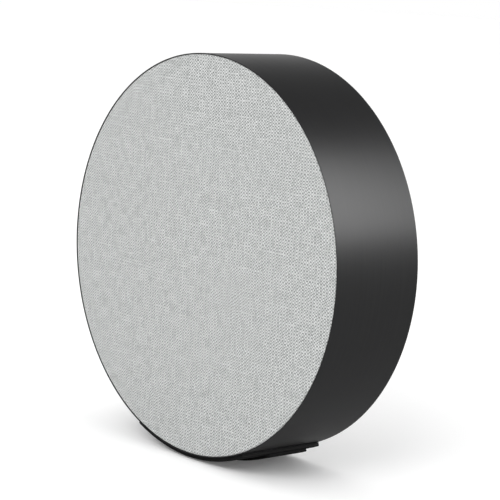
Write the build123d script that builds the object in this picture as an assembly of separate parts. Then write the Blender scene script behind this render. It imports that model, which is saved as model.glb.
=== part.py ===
"""A round smart home hub that stands on its rim: a metal ring closed by a cloth front and a moulded rear.

Inside are a loudspeaker in its own sealed chamber, a main board with network and USB sockets, a microphone
and light board behind the cloth, radio antennas, a pairing button and a mute slider at the rear.
Millimetres. The ring's axis is Y, the cloth faces -Y, +Z is up, and the origin is on the table under the
middle of the ring. Parts are built round the ring's axis and lifted to standing height when written.
"""

import os
from math import asin, cos, radians, sin, sqrt

from build123d import *

# ---------------------------------------------------------------- driving dimensions

# Ring
ring_diameter = 200.0
ring_depth = 53.3
ring_wall = 1.8
ring_edge_land = 0.5        # metal seen round the cloth
ring_edge_chamfer = 0.2
flange_width = 8.0          # inner flange that both halves are screwed to
flange_thickness = 2.0

# Clearances
drop_in_gap = 0.3           # round a part that drops into another
thread_gap = 0.05           # round a screw in its thread, and round any glued or pressed seat
screw_hole_gap = 0.3        # round a screw that only passes through
running_gap = 0.05          # round a peg in its grommet
button_gap = 0.35           # round a button or slider in its hole

# Front cover
cover_recess = 0.2
cloth_thickness = 0.6
cloth_edge_round = 0.45
cloth_hem_width = 5.0
cover_height = 4.4
cover_rim_width = 8.0
cover_web_thickness = 2.0
cover_web_width = 8.0
cover_spokes = 12
spoke_width = 2.6
cover_hoops = (24.0, 52.0)  # radii of the hoops between the spokes
peg_radius = 2.0
peg_head_radius = 3.4
peg_head_height = 1.0
peg_reach = 3.0             # past the baffle's front face
peg_angles = (0, 45, 135, 180, 225, 315)
grommet_lip = 1.2
grommet_neck_wall = 1.2
grommet_lip_width = 1.3
grommet_flange_gap = 1.15   # from a grommet to the ring's inner flange

# Baffle
baffle_setback = 13.0
baffle_thickness = 2.5
mount_angles = (30, 90, 150, 210, 270, 330)

# Loudspeaker, on its own axis above the ring's
driver_offset = 30.0
driver_flange_radius = 47.5
driver_flange_thickness = 2.0
driver_gasket_thickness = 1.0
baffle_cutout_radius = 42.5
driver_screw_circle = 45.2
driver_screw_count = 4
basket_wall = 1.4
basket_mouth_radius = 38.0
basket_throat_radius = 27.0
basket_depth = 21.0         # from flange front to top plate
basket_windows = 6
basket_window_width = 27.0
basket_window_margin = 2.0  # of solid wall in front of and behind a window
spider_depth = 13.6         # from flange front to the spider's ledge
spider_ledge = 4.2
spider_glue_width = 3.4
spider_waves = 5
spider_wave_height = 0.9
cone_radius = 33.2
cone_depth = 11.0
cone_thickness = 0.8
surround_roll = 2.0
surround_thickness = 0.5
surround_glue_width = 2.6
former_radius = 12.5
former_wall = 0.3
former_length = 14.5
winding_thickness = 0.35
winding_length = 7.0
coil_gap = 0.4              # each side of the coil in the magnet's gap
top_plate_thickness = 3.0
top_plate_radius = 26.0
magnet_radius = 28.0
magnet_bore_radius = 17.0
magnet_thickness = 8.0
yoke_radius = 25.0
yoke_thickness = 3.0
yoke_chamfer = 1.0
pole_chamfer = 0.5
cone_lip = 2.0
dust_cap_overlap = 2.5      # beyond the coil former, onto the cone
dust_cap_rise = 4.0
terminal_width = 11.0
terminal_tall = 4.0
terminal_depth = 4.4
tag_width = 2.4
tag_thickness = 0.6
tag_length = 2.5

# Speaker chamber
chamber_inner_radius = 52.0
chamber_wall = 2.0
chamber_flange_width = 4.0
chamber_flange_thickness = 2.5
chamber_seal_thickness = 0.8
chamber_back_gap = 0.6
chamber_screw_count = 6
lead_grommet_depth = 8.0    # where the leads leave the chamber, on the ring's own depth scale
lead_grommet_radius = 6.2
lead_grommet_lip = 1.0
lead_grommet_height = 6.0

# Rear cover
rear_recess = 1.2
rear_cover_thickness = 2.4
rear_edge_chamfer = 0.6
rear_seal_section = 1.2
rear_screw_angles = (0, 60, 120, 180, 240, 300)
rear_boss_radius = 3.6
vent_slot_width = 2.0
vent_slot_pitch = 4.0
vent_mesh_thickness = 0.4
vent_mesh_margin = 1.5
side_vent_angles = (24, 156)
side_vent_half_angle = 12.0
side_vent_radius = 70.0
side_vent_rows = 4
low_vent_half_angle = 13.0
low_vent_radius = 74.0
low_vent_rows = 3

# Port bay in the rear cover
bay_x = -12.0
bay_z = -52.0
bay_width = 68.0
bay_height = 24.0
bay_depth = 10.0
bay_wall = 2.0
bay_corner = 3.0

# Main board
board_thickness = 1.6
board_half_width = 70.0
board_top = -33.0
board_bottom = -81.0
board_edge_gap = 3.2        # from the board's round edge to the ring's flange
board_boss_radius = 3.2
board_boss_places = ((-62.0, -38.5), (62.0, -38.5), (-30.0, -75.0), (30.0, -75.0))

# Sockets on the main board
socket_height = 13.2
socket_setback = 0.2
network_x = -30.0
network_width = 16.0
network_tall = 13.6
network_mouth = (11.8, 8.2)
network_mouth_depth = 11.5
network_mouth_lift = 1.5
network_latch = (6.2, 1.5)  # width and depth of the notch for the plug's latch
network_contacts = 8
network_contact_pitch = 1.02
network_contact = (0.45, 6.0, 0.6)
usb_x = -6.0
usb_width = 13.2
usb_tall = 5.8
usb_shell = 0.4
usb_depth = 10.5
usb_tongue_width = 11.2
usb_tongue_thickness = 1.2
usb_tongue_setback = 1.0
power_x = 12.0
power_width = 9.2
power_tall = 3.5
power_shell = 0.35
power_depth = 7.5
power_tongue_width = 6.6
power_tongue_thickness = 0.7
power_tongue_setback = 0.8

# Board parts
processor_size = 15.0
processor_height = 1.2
thermal_pad_height = 0.6
heat_sink_width = 38.0
heat_sink_tall = 28.0
heat_sink_base = 1.5
heat_sink_height = 6.4
heat_sink_fins = 9
heat_sink_fin = 1.4
heat_sink_z = -57.0
shield_height = 2.2
shield_edge = 0.5
shields = ((-44.0, -54.0, 22.0, 18.0), (43.0, -56.0, 20.0, 22.0))          # x, z, width, height
chip_height = 1.0
rear_chips = ((-45.0, -72.0, 12.0, 8.0), (6.0, -72.0, 13.0, 9.0), (-12.0, -72.0, 9.0, 9.0))
front_chips = ((-24.5, -43.0, 8.0, 6.0), (26.0, -44.0, 6.0, 6.0), (24.5, -66.0, 5.0, 5.0))
radio_places = ((-60.0, -57.0), (32.0, -60.0))
radio_card = (12.0, 0.8, 16.0)
radio_can = (10.0, 2.2, 10.5)
radio_can_lift = 2.0
capacitor_places = ((30.0, -40.5), (38.5, -40.5), (18.5, -72.5))
capacitor_radius = 3.1
capacitor_height = 7.7
capacitor_base = (6.6, 1.0)
capacitor_edge = 0.6

# Buttons
switch_x = 46.0
slider_x = 60.0
buttons_z = -52.0
button_board_width = 34.0
button_board_tall = 16.0
button_board_thickness = 1.2
button_board_drop = 8.0     # from the rear cover's inner face to the board's front
button_boss_radius = 2.4
button_boss_inset = 0.6
header_size = (9.0, 2.4)
header_offset = (2.0, -5.6)
button_radius = 4.2
button_sink = 0.4
button_flange = 1.2
button_flange_height = 1.1
button_face_round = 0.4
button_dish_radius = 14.0
button_dish_depth = 0.35
button_stem_radius = 2.3
button_travel = 0.6
switch_size = 6.0
switch_height = 3.4
plunger_radius = 1.7
plunger_out = 0.9
plunger_in = 0.8
slider_length = 5.0
slider_tall = 3.0
slider_travel = 2.5
slider_flange = 0.5         # beyond its slot at both ends of its travel
slider_flange_height = 0.9
slider_grip_pitch = 1.3
slider_grip_width = 0.4
slider_grip_depth = 0.35
slide_switch_length = 8.6
slide_switch_tall = 4.4
slide_switch_height = 3.6
slider_stem = 1.5
slider_stem_reach = 1.0

# Microphone and light board
mic_board_width = 9.5
mic_board_gap = 0.7         # inside the line of the ring's flange
mic_board_half_angle = 24.0
mic_board_thickness = 1.2
mic_board_standoff = 1.7
mic_boss_angles = (76, 104)
mic_boss_radius = 2.0
mic_boss_place = 3.2        # outwards from the board's inner edge
mic_angles = (70, 83, 97, 110)
mic_size = (2.9, 1.1, 3.8)
mic_place = 7.4
mic_hole_radius = 0.4
mic_hole_depth = 0.6
led_angles = (84, 87, 90, 93, 96)
led_size = 1.6
led_height = 0.8
led_place = 4.0
guide_width = 3.4
guide_thickness = 1.6
guide_half_angle = 8.5
guide_leg_half_angle = 0.5
flex_gap = 1.0              # inside the board's inner edge
flex_width = 5.0
flex_thickness = 0.3
flex_tab_half_angle = 1.5
flex_tail_half_angle = 0.12
flex_tail_reach = 4.0
flex_top_angle = 66.0
flex_low_angle = -36.0

# Antennas and leads
antenna_thickness = 0.3
side_antenna = (9.5, 38.0)
side_antenna_gap = 0.45     # inside the side grommets
side_antenna_z = -11.0
low_antenna = (36.0, 7.5)
low_antenna_z = -80.0
coax_plug_radius = 1.5
coax_plug_height = 1.5
coax_radius = 0.55
lead_radius = 0.75
lead_spacing = 4.0
lead_bend = 2.0
lead_plug = (9.0, 5.2, 5.0)
lead_plug_drop = 3.0        # from the board's top edge

# Foot
foot_half_angle = 23.65
pad_thickness = 2.1
pad_setback = 1.4
sole_thickness = 1.5
sole_depth = 27.5
sole_front = -8.0
sole_flat = 24.0
sole_corner = 2.5           # of its four corners, seen from below
sole_edge_round = 0.5
foot_corner = 1.0
foot_screw_angle = 12.0
foot_screw_depths = (-1.0, 15.0)
backing_thickness = 3.0
backing_half_angle = 20.0
backing_front = -7.0
backing_back = 21.0

# Screws: head radius, head height, shank radius
cover_screw = (2.6, 1.8, 1.45)
small_screw = (1.9, 1.3, 0.95)
small_screw_bite = 3.0      # of thread in a thin wall; twice that in a boss
foot_screw = (2.7, 1.5, 1.45)

# ---------------------------------------------------------------- places worked out from them

ring_radius = ring_diameter / 2
ring_inner = ring_radius - ring_wall
ring_front = -ring_depth / 2
ring_back = ring_depth / 2
flange_inner = ring_inner - flange_width
mount_circle = ring_inner - flange_width / 2

cloth_front = ring_front + cover_recess
frame_front = cloth_front + cloth_thickness
frame_back = frame_front + cover_height
cloth_radius = ring_radius - ring_edge_land - drop_in_gap
frame_radius = cloth_radius - cloth_thickness - thread_gap
rebate_end = frame_back + cloth_thickness + drop_in_gap
web_back = frame_front + cover_web_thickness

baffle_front = ring_front + baffle_setback
baffle_back = baffle_front + baffle_thickness
baffle_radius = ring_inner - drop_in_gap
flange_front = baffle_back
flange_back = flange_front + flange_thickness
grommet_bore = peg_radius + running_gap
grommet_neck = grommet_bore + grommet_neck_wall
grommet_outer = grommet_neck + grommet_lip_width
peg_circle = flange_inner - grommet_flange_gap - grommet_outer
side_antenna_x = peg_circle - grommet_outer - side_antenna_gap - side_antenna[0] / 2
cover_rim_inner = frame_radius - cover_rim_width
web_inner = peg_circle - cover_web_width / 2

driver_front = baffle_front - driver_gasket_thickness - driver_flange_thickness
top_plate_front = driver_front + basket_depth
top_plate_back = top_plate_front + top_plate_thickness
magnet_back = top_plate_back + magnet_thickness
yoke_back = magnet_back + yoke_thickness
spider_face = driver_front + spider_depth
winding_radius = former_radius + winding_thickness
gap_outer = winding_radius + coil_gap
pole_radius = former_radius - former_wall - coil_gap
dust_cap_radius = former_radius + dust_cap_overlap
cone_neck_radius = former_radius + thread_gap
spider_shoulder = basket_throat_radius + spider_ledge
terminal_back = top_plate_front - drop_in_gap
terminal_front = terminal_back - terminal_depth
terminal_top = driver_offset - basket_throat_radius - basket_wall - thread_gap
terminal_bottom = terminal_top - terminal_tall
former_front = driver_front + cone_depth - cone_thickness
former_back = former_front + former_length
winding_middle = top_plate_front + top_plate_thickness / 2

rear_outer = ring_back - rear_recess
rear_inner = rear_outer - rear_cover_thickness
rear_radius = ring_inner - drop_in_gap
seal_groove_radius = ring_inner - rear_seal_section - thread_gap
bay_floor_outer = rear_outer - bay_depth
bay_floor_inner = bay_floor_outer - bay_wall
chamber_outer = chamber_inner_radius + chamber_wall
chamber_flange_radius = chamber_outer + chamber_flange_width
chamber_screw_circle = chamber_outer + chamber_flange_width / 2
chamber_front = baffle_back + chamber_seal_thickness
chamber_back = rear_inner - chamber_back_gap

socket_mouth = bay_floor_outer - socket_setback
board_back = socket_mouth - socket_height
board_front = board_back - board_thickness
board_radius = flange_inner - board_edge_gap
processor_front = board_front - processor_height
heat_sink_back = processor_front - thermal_pad_height

button_board_front = rear_inner - button_board_drop
button_board_back = button_board_front + button_board_thickness
button_board_x = (switch_x + slider_x) / 2
switch_top = button_board_back + switch_height
slide_switch_top = button_board_back + slide_switch_height
button_flange_back = rear_inner - drop_in_gap
button_face = rear_outer - button_sink
slider_slot_length = slider_length + slider_travel + 2 * button_gap
slider_slot_tall = slider_tall + 2 * button_gap

mic_board_back = baffle_front - mic_board_standoff
mic_board_front = mic_board_back - mic_board_thickness
mic_board_outer = flange_inner - mic_board_gap
mic_board_inner = mic_board_outer - mic_board_width
flex_outer = mic_board_inner - flex_gap
flex_inner = flex_outer - flex_width
antenna_back = baffle_back + antenna_thickness

pad_inner = ring_radius + thread_gap
pad_outer = ring_radius + pad_thickness
sole_outer = pad_outer + sole_thickness
axis_height = sqrt(sole_outer**2 - (sole_flat / 2) ** 2)
backing_outer = ring_inner - thread_gap
backing_inner = backing_outer - backing_thickness
BOTTOM = 270.0              # angle of the lowest point, counted from +X towards +Z


# ---------------------------------------------------------------- shapes that many parts share

def turned(*outline):
    """A solid of revolution round Y from an outline of (radius, depth) points."""
    return revolve(make_face(Polyline(*outline, close=True)), axis=Axis.Y)


def tube(inner, outer, front, back):
    return turned((inner, front), (outer, front), (outer, back), (inner, back))


def rod(radius, front, back, x=0.0, z=0.0):
    """A round bar along Y."""
    return Pos(x, (front + back) / 2, z) * Rot(90, 0, 0) * Cylinder(radius, back - front)


def block(width, front, back, tall, x=0.0, z=0.0):
    return Pos(x, (front + back) / 2, z) * Box(width, back - front, tall)


def at_angle(part, angle):
    """Turns a part built towards +X to that angle, counted from +X towards +Z."""
    return Rot(0, -angle, 0) * part


def polar(radius, angle):
    return radius * cos(radians(angle)), radius * sin(radians(angle))


def sector(inner, outer, front, back, middle, half_angle):
    """Part of a flat or curved ring, half_angle each side of its middle."""
    outline = Polyline((inner, front), (outer, front), (outer, back), (inner, back), close=True)
    swept = revolve(make_face(outline), axis=Axis.Y, revolution_arc=2 * half_angle)
    return at_angle(swept, middle + half_angle)


def screw(sizes, length):
    """A pan-head screw with a hexagon drive, its head at depth 0 and its shank towards +Y."""
    head_radius, head_height, shank_radius = sizes
    drive = Rot(90, 0, 0) * extrude(RegularPolygon(head_radius / 2, 6), head_height / 2, both=True)
    edge = head_height / 4
    head = turned((0, 0), (head_radius - edge, 0), (head_radius, edge),
                  (head_radius, head_height), (0, head_height))
    return head + rod(shank_radius, head_height, length) - drive


def countersunk_screw(sizes, length):
    """A flat screw with a hexagon drive, its head's face at depth 0."""
    head_radius, head_height, shank_radius = sizes
    drive = Rot(90, 0, 0) * extrude(RegularPolygon(shank_radius, 6), head_height / 2, both=True)
    return turned((0, 0), (head_radius, 0), (shank_radius, head_height),
                  (shank_radius, length), (0, length)) - drive


def facing_back(part):
    """Turns a part that faces -Y to face +Y."""
    return Rot(0, 0, 180) * part


def lead(radius, *points):
    """A round wire through these points, its corners rounded over the last lead_bend of each run."""
    places = [Vector(*p) for p in points]
    radii = []
    for before, here, after in zip(places, places[1:], places[2:]):
        half_turn = radians((here - before).get_angle(after - here)) / 2
        shorter = min((here - before).length, (after - here).length)
        radii.append(min(0.45 * shorter, lead_bend) * cos(half_turn) / sin(half_turn))
    path = FilletPolyline(*places, radius=radii)
    section = Plane(origin=places[0], z_dir=places[1] - places[0]) * Circle(radius)
    return sweep(section, path=path)


def on_driver_axis(part):
    return Pos(0, 0, driver_offset) * part


# ---------------------------------------------------------------- ring and foot

def foot_screw_places():
    """(angle, depth) of each foot screw."""
    return [(BOTTOM + side * foot_screw_angle, depth)
            for side in (-1, 1) for depth in foot_screw_depths]


def radial_hole(radius, inner, outer, angle, depth):
    """A round bar pointing outwards from the ring's axis, for cutting a hole."""
    middle = (inner + outer) / 2
    return at_angle(Pos(middle, depth, 0) * Rot(0, 90, 0) * Cylinder(radius, outer - inner), angle)


def make_body_ring():
    """Turned metal ring with a thin front lip round the cloth and an inner flange."""
    edge = ring_edge_chamfer
    rebate = ring_radius - ring_edge_land
    ring = turned(
        (rebate, ring_front), (ring_radius - edge, ring_front), (ring_radius, ring_front + edge),
        (ring_radius, ring_back - edge), (ring_radius - edge, ring_back),
        (ring_inner + edge, ring_back), (ring_inner, ring_back - edge),
        (ring_inner, flange_back), (flange_inner, flange_back), (flange_inner, flange_front),
        (ring_inner, flange_front), (ring_inner, rebate_end), (rebate, rebate_end),
    )
    thread = cover_screw[2] + thread_gap
    for angle in (*mount_angles, *rear_screw_angles):
        x, z = polar(mount_circle, angle)
        ring -= rod(thread, flange_front, flange_back, x, z)
    for angle, depth in foot_screw_places():
        hole = foot_screw[2] + screw_hole_gap
        ring -= radial_hole(hole, backing_outer, pad_inner, angle, depth)
    return ring


def make_foot_pad():
    """Curved hard foot under the ring, nearly as deep as the ring."""
    front = ring_front + pad_setback
    pad = sector(pad_inner, pad_outer, front, ring_back, BOTTOM, foot_half_angle)
    ends = pad.edges().filter_by(Axis.Y).group_by(Axis.Z)[-1]
    pad = chamfer(ends, foot_corner / 2)
    head_radius, head_height, shank_radius = foot_screw
    cone = turned((0, 0), (head_radius + thread_gap, 0), (shank_radius + screw_hole_gap, head_height),
                  (shank_radius + screw_hole_gap, pad_thickness), (0, pad_thickness))
    for angle, depth in foot_screw_places():
        pad -= at_angle(Pos(pad_outer, depth, 0) * Rot(0, 0, 90) * cone, angle)
    return pad


def make_foot_sole():
    """Soft sole glued to the pad, rounded like it, with a flat ground across its middle."""
    inner = pad_outer + thread_gap
    sole = sector(inner, sole_outer, sole_front, sole_front + sole_depth, BOTTOM, foot_half_angle - 0.5)
    corners = sole.edges().filter_by(GeomType.LINE).filter_by(Axis.Y, reverse=True)
    sole = fillet(corners, sole_corner)
    ground = max(sole.faces().filter_by(GeomType.CYLINDER), key=lambda face: face.radius)
    sole = fillet(ground.edges(), min(sole_edge_round, sole_thickness / 3))
    below = Pos(0, 0, -axis_height - sole_thickness) * Box(ring_diameter, ring_depth, 2 * sole_thickness)
    return sole - below


def make_foot_screws():
    reach = pad_outer - thread_gap - backing_inner
    one = Rot(0, 0, 90) * countersunk_screw(foot_screw, reach)
    return [at_angle(Pos(pad_outer - thread_gap, depth, 0) * one, angle)
            for angle, depth in foot_screw_places()]


def make_foot_backing():
    """Steel strip inside the ring that the foot screws pull against; its weight steadies the hub."""
    plate = sector(backing_inner, backing_outer, backing_front, backing_back, BOTTOM, backing_half_angle)
    for angle, depth in foot_screw_places():
        plate -= radial_hole(foot_screw[2] + thread_gap, backing_inner, backing_outer, angle, depth)
    return plate


# ---------------------------------------------------------------- front cover

def make_cover_frame():
    """Moulded wheel that the cloth is stretched over: rim, web ring, spokes and hoops."""
    frame = turned(
        (web_inner, frame_front), (frame_radius - cloth_edge_round, frame_front),
        (frame_radius, frame_front + cloth_edge_round), (frame_radius, frame_back),
        (cover_rim_inner, frame_back), (cover_rim_inner, web_back), (web_inner, web_back),
    )
    for radius in cover_hoops:
        frame += tube(radius - spoke_width / 2, radius + spoke_width / 2, frame_front, web_back)
    inner = min(cover_hoops)
    length = web_inner - inner + spoke_width / 2
    spoke = block(length, frame_front, web_back, spoke_width, inner + length / 2)
    for number in range(cover_spokes):
        frame += at_angle(spoke, (number + 0.5) * 360 / cover_spokes)
    return frame


def make_front_cloth():
    """Cloth skin: front disc, wrapped edge and the hem glued behind the rim."""
    edge = cloth_edge_round
    back = frame_back + cloth_thickness
    hem = frame_radius - cloth_hem_width
    return turned(
        (0, cloth_front), (cloth_radius - edge, cloth_front), (cloth_radius, cloth_front + edge),
        (cloth_radius, back), (hem, back), (hem, frame_back),
        (frame_radius + thread_gap, frame_back), (frame_radius + thread_gap, frame_front + edge),
        (frame_radius - edge, frame_front), (0, frame_front),
    )


def make_cover_pegs():
    """Push-in pegs on the cover's back."""
    tip = baffle_front + peg_reach
    taper = peg_radius / 2
    neck = web_back + peg_head_height
    peg = turned((0, web_back), (peg_head_radius, web_back), (peg_head_radius, neck), (peg_radius, neck),
                 (peg_radius, tip - taper), (peg_radius - taper, tip), (0, tip))
    return [Pos(x, 0, z) * peg for x, z in (polar(peg_circle, a) for a in peg_angles)]


# ---------------------------------------------------------------- baffle

def make_cover_grommets():
    """Rubber grommets in the baffle that grip the cover's pegs."""
    front, back = baffle_front - grommet_lip, baffle_back + grommet_lip
    grommet = turned(
        (grommet_bore, front), (grommet_outer, front), (grommet_outer, baffle_front),
        (grommet_neck, baffle_front), (grommet_neck, baffle_back), (grommet_outer, baffle_back),
        (grommet_outer, back), (grommet_bore, back),
    )
    return [Pos(x, 0, z) * grommet for x, z in (polar(peg_circle, a) for a in peg_angles)]


def driver_screw_places():
    step = 360 / driver_screw_count
    found = [polar(driver_screw_circle, step / 2 + step * n) for n in range(driver_screw_count)]
    return [(x, z + driver_offset) for x, z in found]


def chamber_screw_places():
    step = 360 / chamber_screw_count
    found = [polar(chamber_screw_circle, step / 2 + step * n) for n in range(chamber_screw_count)]
    return [(x, z + driver_offset) for x, z in found]


def mic_boss_places():
    return [polar(mic_board_inner + mic_boss_place, angle) for angle in mic_boss_angles]


def make_front_baffle():
    """Moulded disc that carries the loudspeaker, the grommets and the microphone board."""
    baffle = rod(baffle_radius, baffle_front, baffle_back)
    baffle -= rod(baffle_cutout_radius, baffle_front, baffle_back, 0, driver_offset)
    for x, z in mic_boss_places():
        baffle += rod(mic_boss_radius, mic_board_back, baffle_front, x, z)
        baffle -= rod(small_screw[2] + thread_gap, mic_board_back, baffle_back, x, z)
    for angle in peg_angles:
        x, z = polar(peg_circle, angle)
        baffle -= rod(grommet_neck + thread_gap, baffle_front, baffle_back, x, z)
    for angle in mount_angles:
        x, z = polar(mount_circle, angle)
        baffle -= rod(cover_screw[2] + screw_hole_gap, baffle_front, baffle_back, x, z)
    for x, z in (*driver_screw_places(), *chamber_screw_places()):
        baffle -= rod(small_screw[2] + thread_gap, baffle_front, baffle_back, x, z)
    slot = sector(flex_inner - drop_in_gap, flex_outer + drop_in_gap, baffle_front, baffle_back,
                  flex_low_angle, 1.0)
    return baffle - slot


def make_baffle_screws():
    length = flange_back - baffle_front + cover_screw[1]
    one = Pos(0, baffle_front - cover_screw[1], 0) * screw(cover_screw, length)
    return [Pos(x, 0, z) * one for x, z in (polar(mount_circle, a) for a in mount_angles)]


# ---------------------------------------------------------------- loudspeaker

def make_driver_gasket():
    gasket = on_driver_axis(tube(baffle_cutout_radius, driver_flange_radius,
                                 baffle_front - driver_gasket_thickness, baffle_front))
    for x, z in driver_screw_places():
        gasket -= rod(small_screw[2] + screw_hole_gap, ring_front, ring_back, x, z)
    return gasket


def make_driver_basket():
    """Pressed frame: front flange, open conical wall, spider ledge and a seat for the top plate."""
    wall = basket_wall
    throat, shoulder = basket_throat_radius, spider_shoulder
    flange_back_face = driver_front + driver_flange_thickness
    seat = gap_outer + coil_gap
    basket = turned(
        (basket_mouth_radius, driver_front), (driver_flange_radius, driver_front),
        (driver_flange_radius, flange_back_face), (basket_mouth_radius + 2.5 * wall, flange_back_face),
        (shoulder + wall, spider_face + wall), (throat + wall, spider_face + wall),
        (throat + wall, top_plate_front), (seat, top_plate_front),
        (seat, top_plate_front - wall), (throat, top_plate_front - wall),
        (throat, spider_face), (shoulder, spider_face),
        (basket_mouth_radius + wall / 2, driver_front + wall), (basket_mouth_radius, driver_front + wall),
    )
    window = block(driver_flange_radius - shoulder + wall, flange_back_face + basket_window_margin,
                   spider_face - basket_window_margin, basket_window_width,
                   (driver_flange_radius + shoulder) / 2)
    for number in range(basket_windows):
        basket -= at_angle(window, number * 360 / basket_windows)
    basket = on_driver_axis(basket)
    for x, z in driver_screw_places():
        basket -= rod(small_screw[2] + screw_hole_gap, driver_front, flange_back_face, x, z)
    return basket


def make_driver_top_plate():
    return on_driver_axis(tube(gap_outer, top_plate_radius, top_plate_front, top_plate_back))


def make_driver_magnet():
    return on_driver_axis(tube(magnet_bore_radius, magnet_radius, top_plate_back, magnet_back))


def make_driver_yoke():
    """Back plate with the pole piece that fills the coil."""
    edge = yoke_chamfer
    return on_driver_axis(turned(
        (0, top_plate_front), (pole_radius - pole_chamfer, top_plate_front),
        (pole_radius, top_plate_front + pole_chamfer), (pole_radius, magnet_back),
        (yoke_radius, magnet_back), (yoke_radius, yoke_back - edge), (yoke_radius - edge, yoke_back),
        (0, yoke_back),
    ))


def make_driver_cone():
    """Thin cone from the surround's inner edge to the coil former."""
    lip = cone_radius - cone_lip
    neck = driver_front + cone_depth
    return on_driver_axis(turned(
        (lip, driver_front), (cone_radius, driver_front), (cone_radius, driver_front + cone_thickness),
        (lip, driver_front + cone_thickness), (cone_neck_radius, neck),
        (cone_neck_radius, neck - cone_thickness * 1.6),
    ))


def cone_depth_at(radius):
    """Depth of the cone's front face at a radius."""
    lip = cone_radius - cone_lip
    slope = (cone_depth - cone_thickness * 1.6) / (lip - cone_neck_radius)
    return driver_front + (lip - radius) * slope


def dome_arc(radius, rise, crown):
    """Arc from a dome's crown on the axis out to its edge, square to the axis at the crown."""
    ball = (radius**2 + rise**2) / (2 * rise)
    half = asin(radius / ball) / 2
    return ThreePointArc((0, crown), (ball * sin(half), crown + ball * (1 - cos(half))),
                         (radius, crown + rise))


def make_dust_cap():
    """Domed cap over the coil's front end."""
    base = cone_depth_at(dust_cap_radius) - thread_gap
    wall = cone_thickness
    crown = base - dust_cap_rise
    outer = dome_arc(dust_cap_radius, dust_cap_rise - wall, crown)
    inner = dome_arc(dust_cap_radius - wall, dust_cap_rise - wall, crown + wall)
    rim = Polyline((dust_cap_radius, base - wall), (dust_cap_radius, base), (dust_cap_radius - wall, base))
    face = make_face([outer, rim, inner, Line((0, crown + wall), (0, crown))])
    return on_driver_axis(revolve(face, axis=Axis.Y))


def make_coil_former():
    return on_driver_axis(tube(former_radius - former_wall, former_radius, former_front, former_back))


def make_coil_winding():
    half = winding_length / 2
    return on_driver_axis(tube(former_radius, winding_radius,
                               winding_middle - half, winding_middle + half))


def make_driver_surround():
    """Half-roll rubber edge, glued to the flange outside and to the cone inside."""
    inner = cone_radius - cone_lip + thread_gap
    outer = basket_mouth_radius + surround_glue_width
    back = driver_front
    front = back - surround_thickness
    roll_in, roll_out = cone_radius - surround_thickness, basket_mouth_radius + surround_thickness
    middle = (roll_in + roll_out) / 2
    top = ThreePointArc((roll_in, front), (middle, front - surround_roll), (roll_out, front))
    under = ThreePointArc((roll_out - surround_thickness, back),
                          (middle, back - surround_roll), (roll_in + surround_thickness, back))
    face = make_face([
        Line((inner, front), (roll_in, front)), top, Line((roll_out, front), (outer, front)),
        Line((outer, front), (outer, back)), Line((outer, back), (roll_out - surround_thickness, back)),
        under, Line((roll_in + surround_thickness, back), (inner, back)), Line((inner, back), (inner, front)),
    ])
    return on_driver_axis(revolve(face, axis=Axis.Y))


def make_driver_spider():
    """Corrugated disc that centres the coil, from the former to the basket's ledge."""
    thick = surround_thickness
    start = former_radius + thread_gap
    end = spider_shoulder - drop_in_gap
    pitch = (end - spider_glue_width - start) / (2 * spider_waves)
    front = [(start, spider_face - thick)]
    back = [(start, spider_face)]
    for number in range(1, 2 * spider_waves):
        lift = spider_wave_height if number % 2 else 0.0
        radius = start + pitch * number
        front.append((radius, spider_face - thick - lift))
        back.append((radius, spider_face - lift))
    front.append((end, spider_face - thick))
    back.append((end, spider_face))
    return on_driver_axis(turned(*front, *reversed(back)))


def make_driver_screws():
    length = driver_flange_thickness + driver_gasket_thickness + baffle_thickness + small_screw[1]
    one = Pos(0, driver_front - small_screw[1], 0) * screw(small_screw, length)
    return [Pos(x, 0, z) * one for x, z in driver_screw_places()]


def make_driver_terminals():
    """Terminal strip under the basket with two solder tags."""
    middle = (terminal_front + terminal_back) / 2
    strip = block(terminal_width, terminal_front, terminal_back, terminal_tall, 0,
                  (terminal_top + terminal_bottom) / 2)
    for side in (-1, 1):
        strip += block(tag_width, middle - tag_thickness, middle, 2 * tag_length,
                       side * lead_spacing, terminal_bottom)
    return strip


# ---------------------------------------------------------------- speaker chamber

def make_speaker_chamber():
    """Moulded cup that seals the loudspeaker's back from the electronics."""
    inner, outer, flange = chamber_inner_radius, chamber_outer, chamber_flange_radius
    wall = chamber_wall
    cup = turned(
        (inner, chamber_front), (flange, chamber_front),
        (flange, chamber_front + chamber_flange_thickness), (outer, chamber_front + chamber_flange_thickness),
        (outer, chamber_back - wall), (outer - wall, chamber_back), (0, chamber_back),
        (0, chamber_back - wall), (inner - wall, chamber_back - wall), (inner, chamber_back - 2 * wall),
    )
    cup = on_driver_axis(cup)
    for x, z in chamber_screw_places():
        cup -= rod(small_screw[2] + screw_hole_gap, chamber_front,
                   chamber_front + chamber_flange_thickness, x, z)
    hole = Cylinder(lead_grommet_radius - lead_grommet_lip, 4 * wall)
    return cup - Pos(0, lead_grommet_depth, driver_offset - chamber_outer) * hole


def make_chamber_seal():
    seal = on_driver_axis(tube(chamber_inner_radius, chamber_flange_radius, baffle_back, chamber_front))
    for x, z in chamber_screw_places():
        seal -= rod(small_screw[2] + screw_hole_gap, ring_front, ring_back, x, z)
    return seal


def make_chamber_screws():
    reach = chamber_flange_thickness + chamber_seal_thickness + baffle_thickness + small_screw[1]
    head = chamber_front + chamber_flange_thickness + small_screw[1]
    one = Pos(0, head, 0) * facing_back(screw(small_screw, reach))
    return [Pos(x, 0, z) * one for x, z in chamber_screw_places()]


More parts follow.
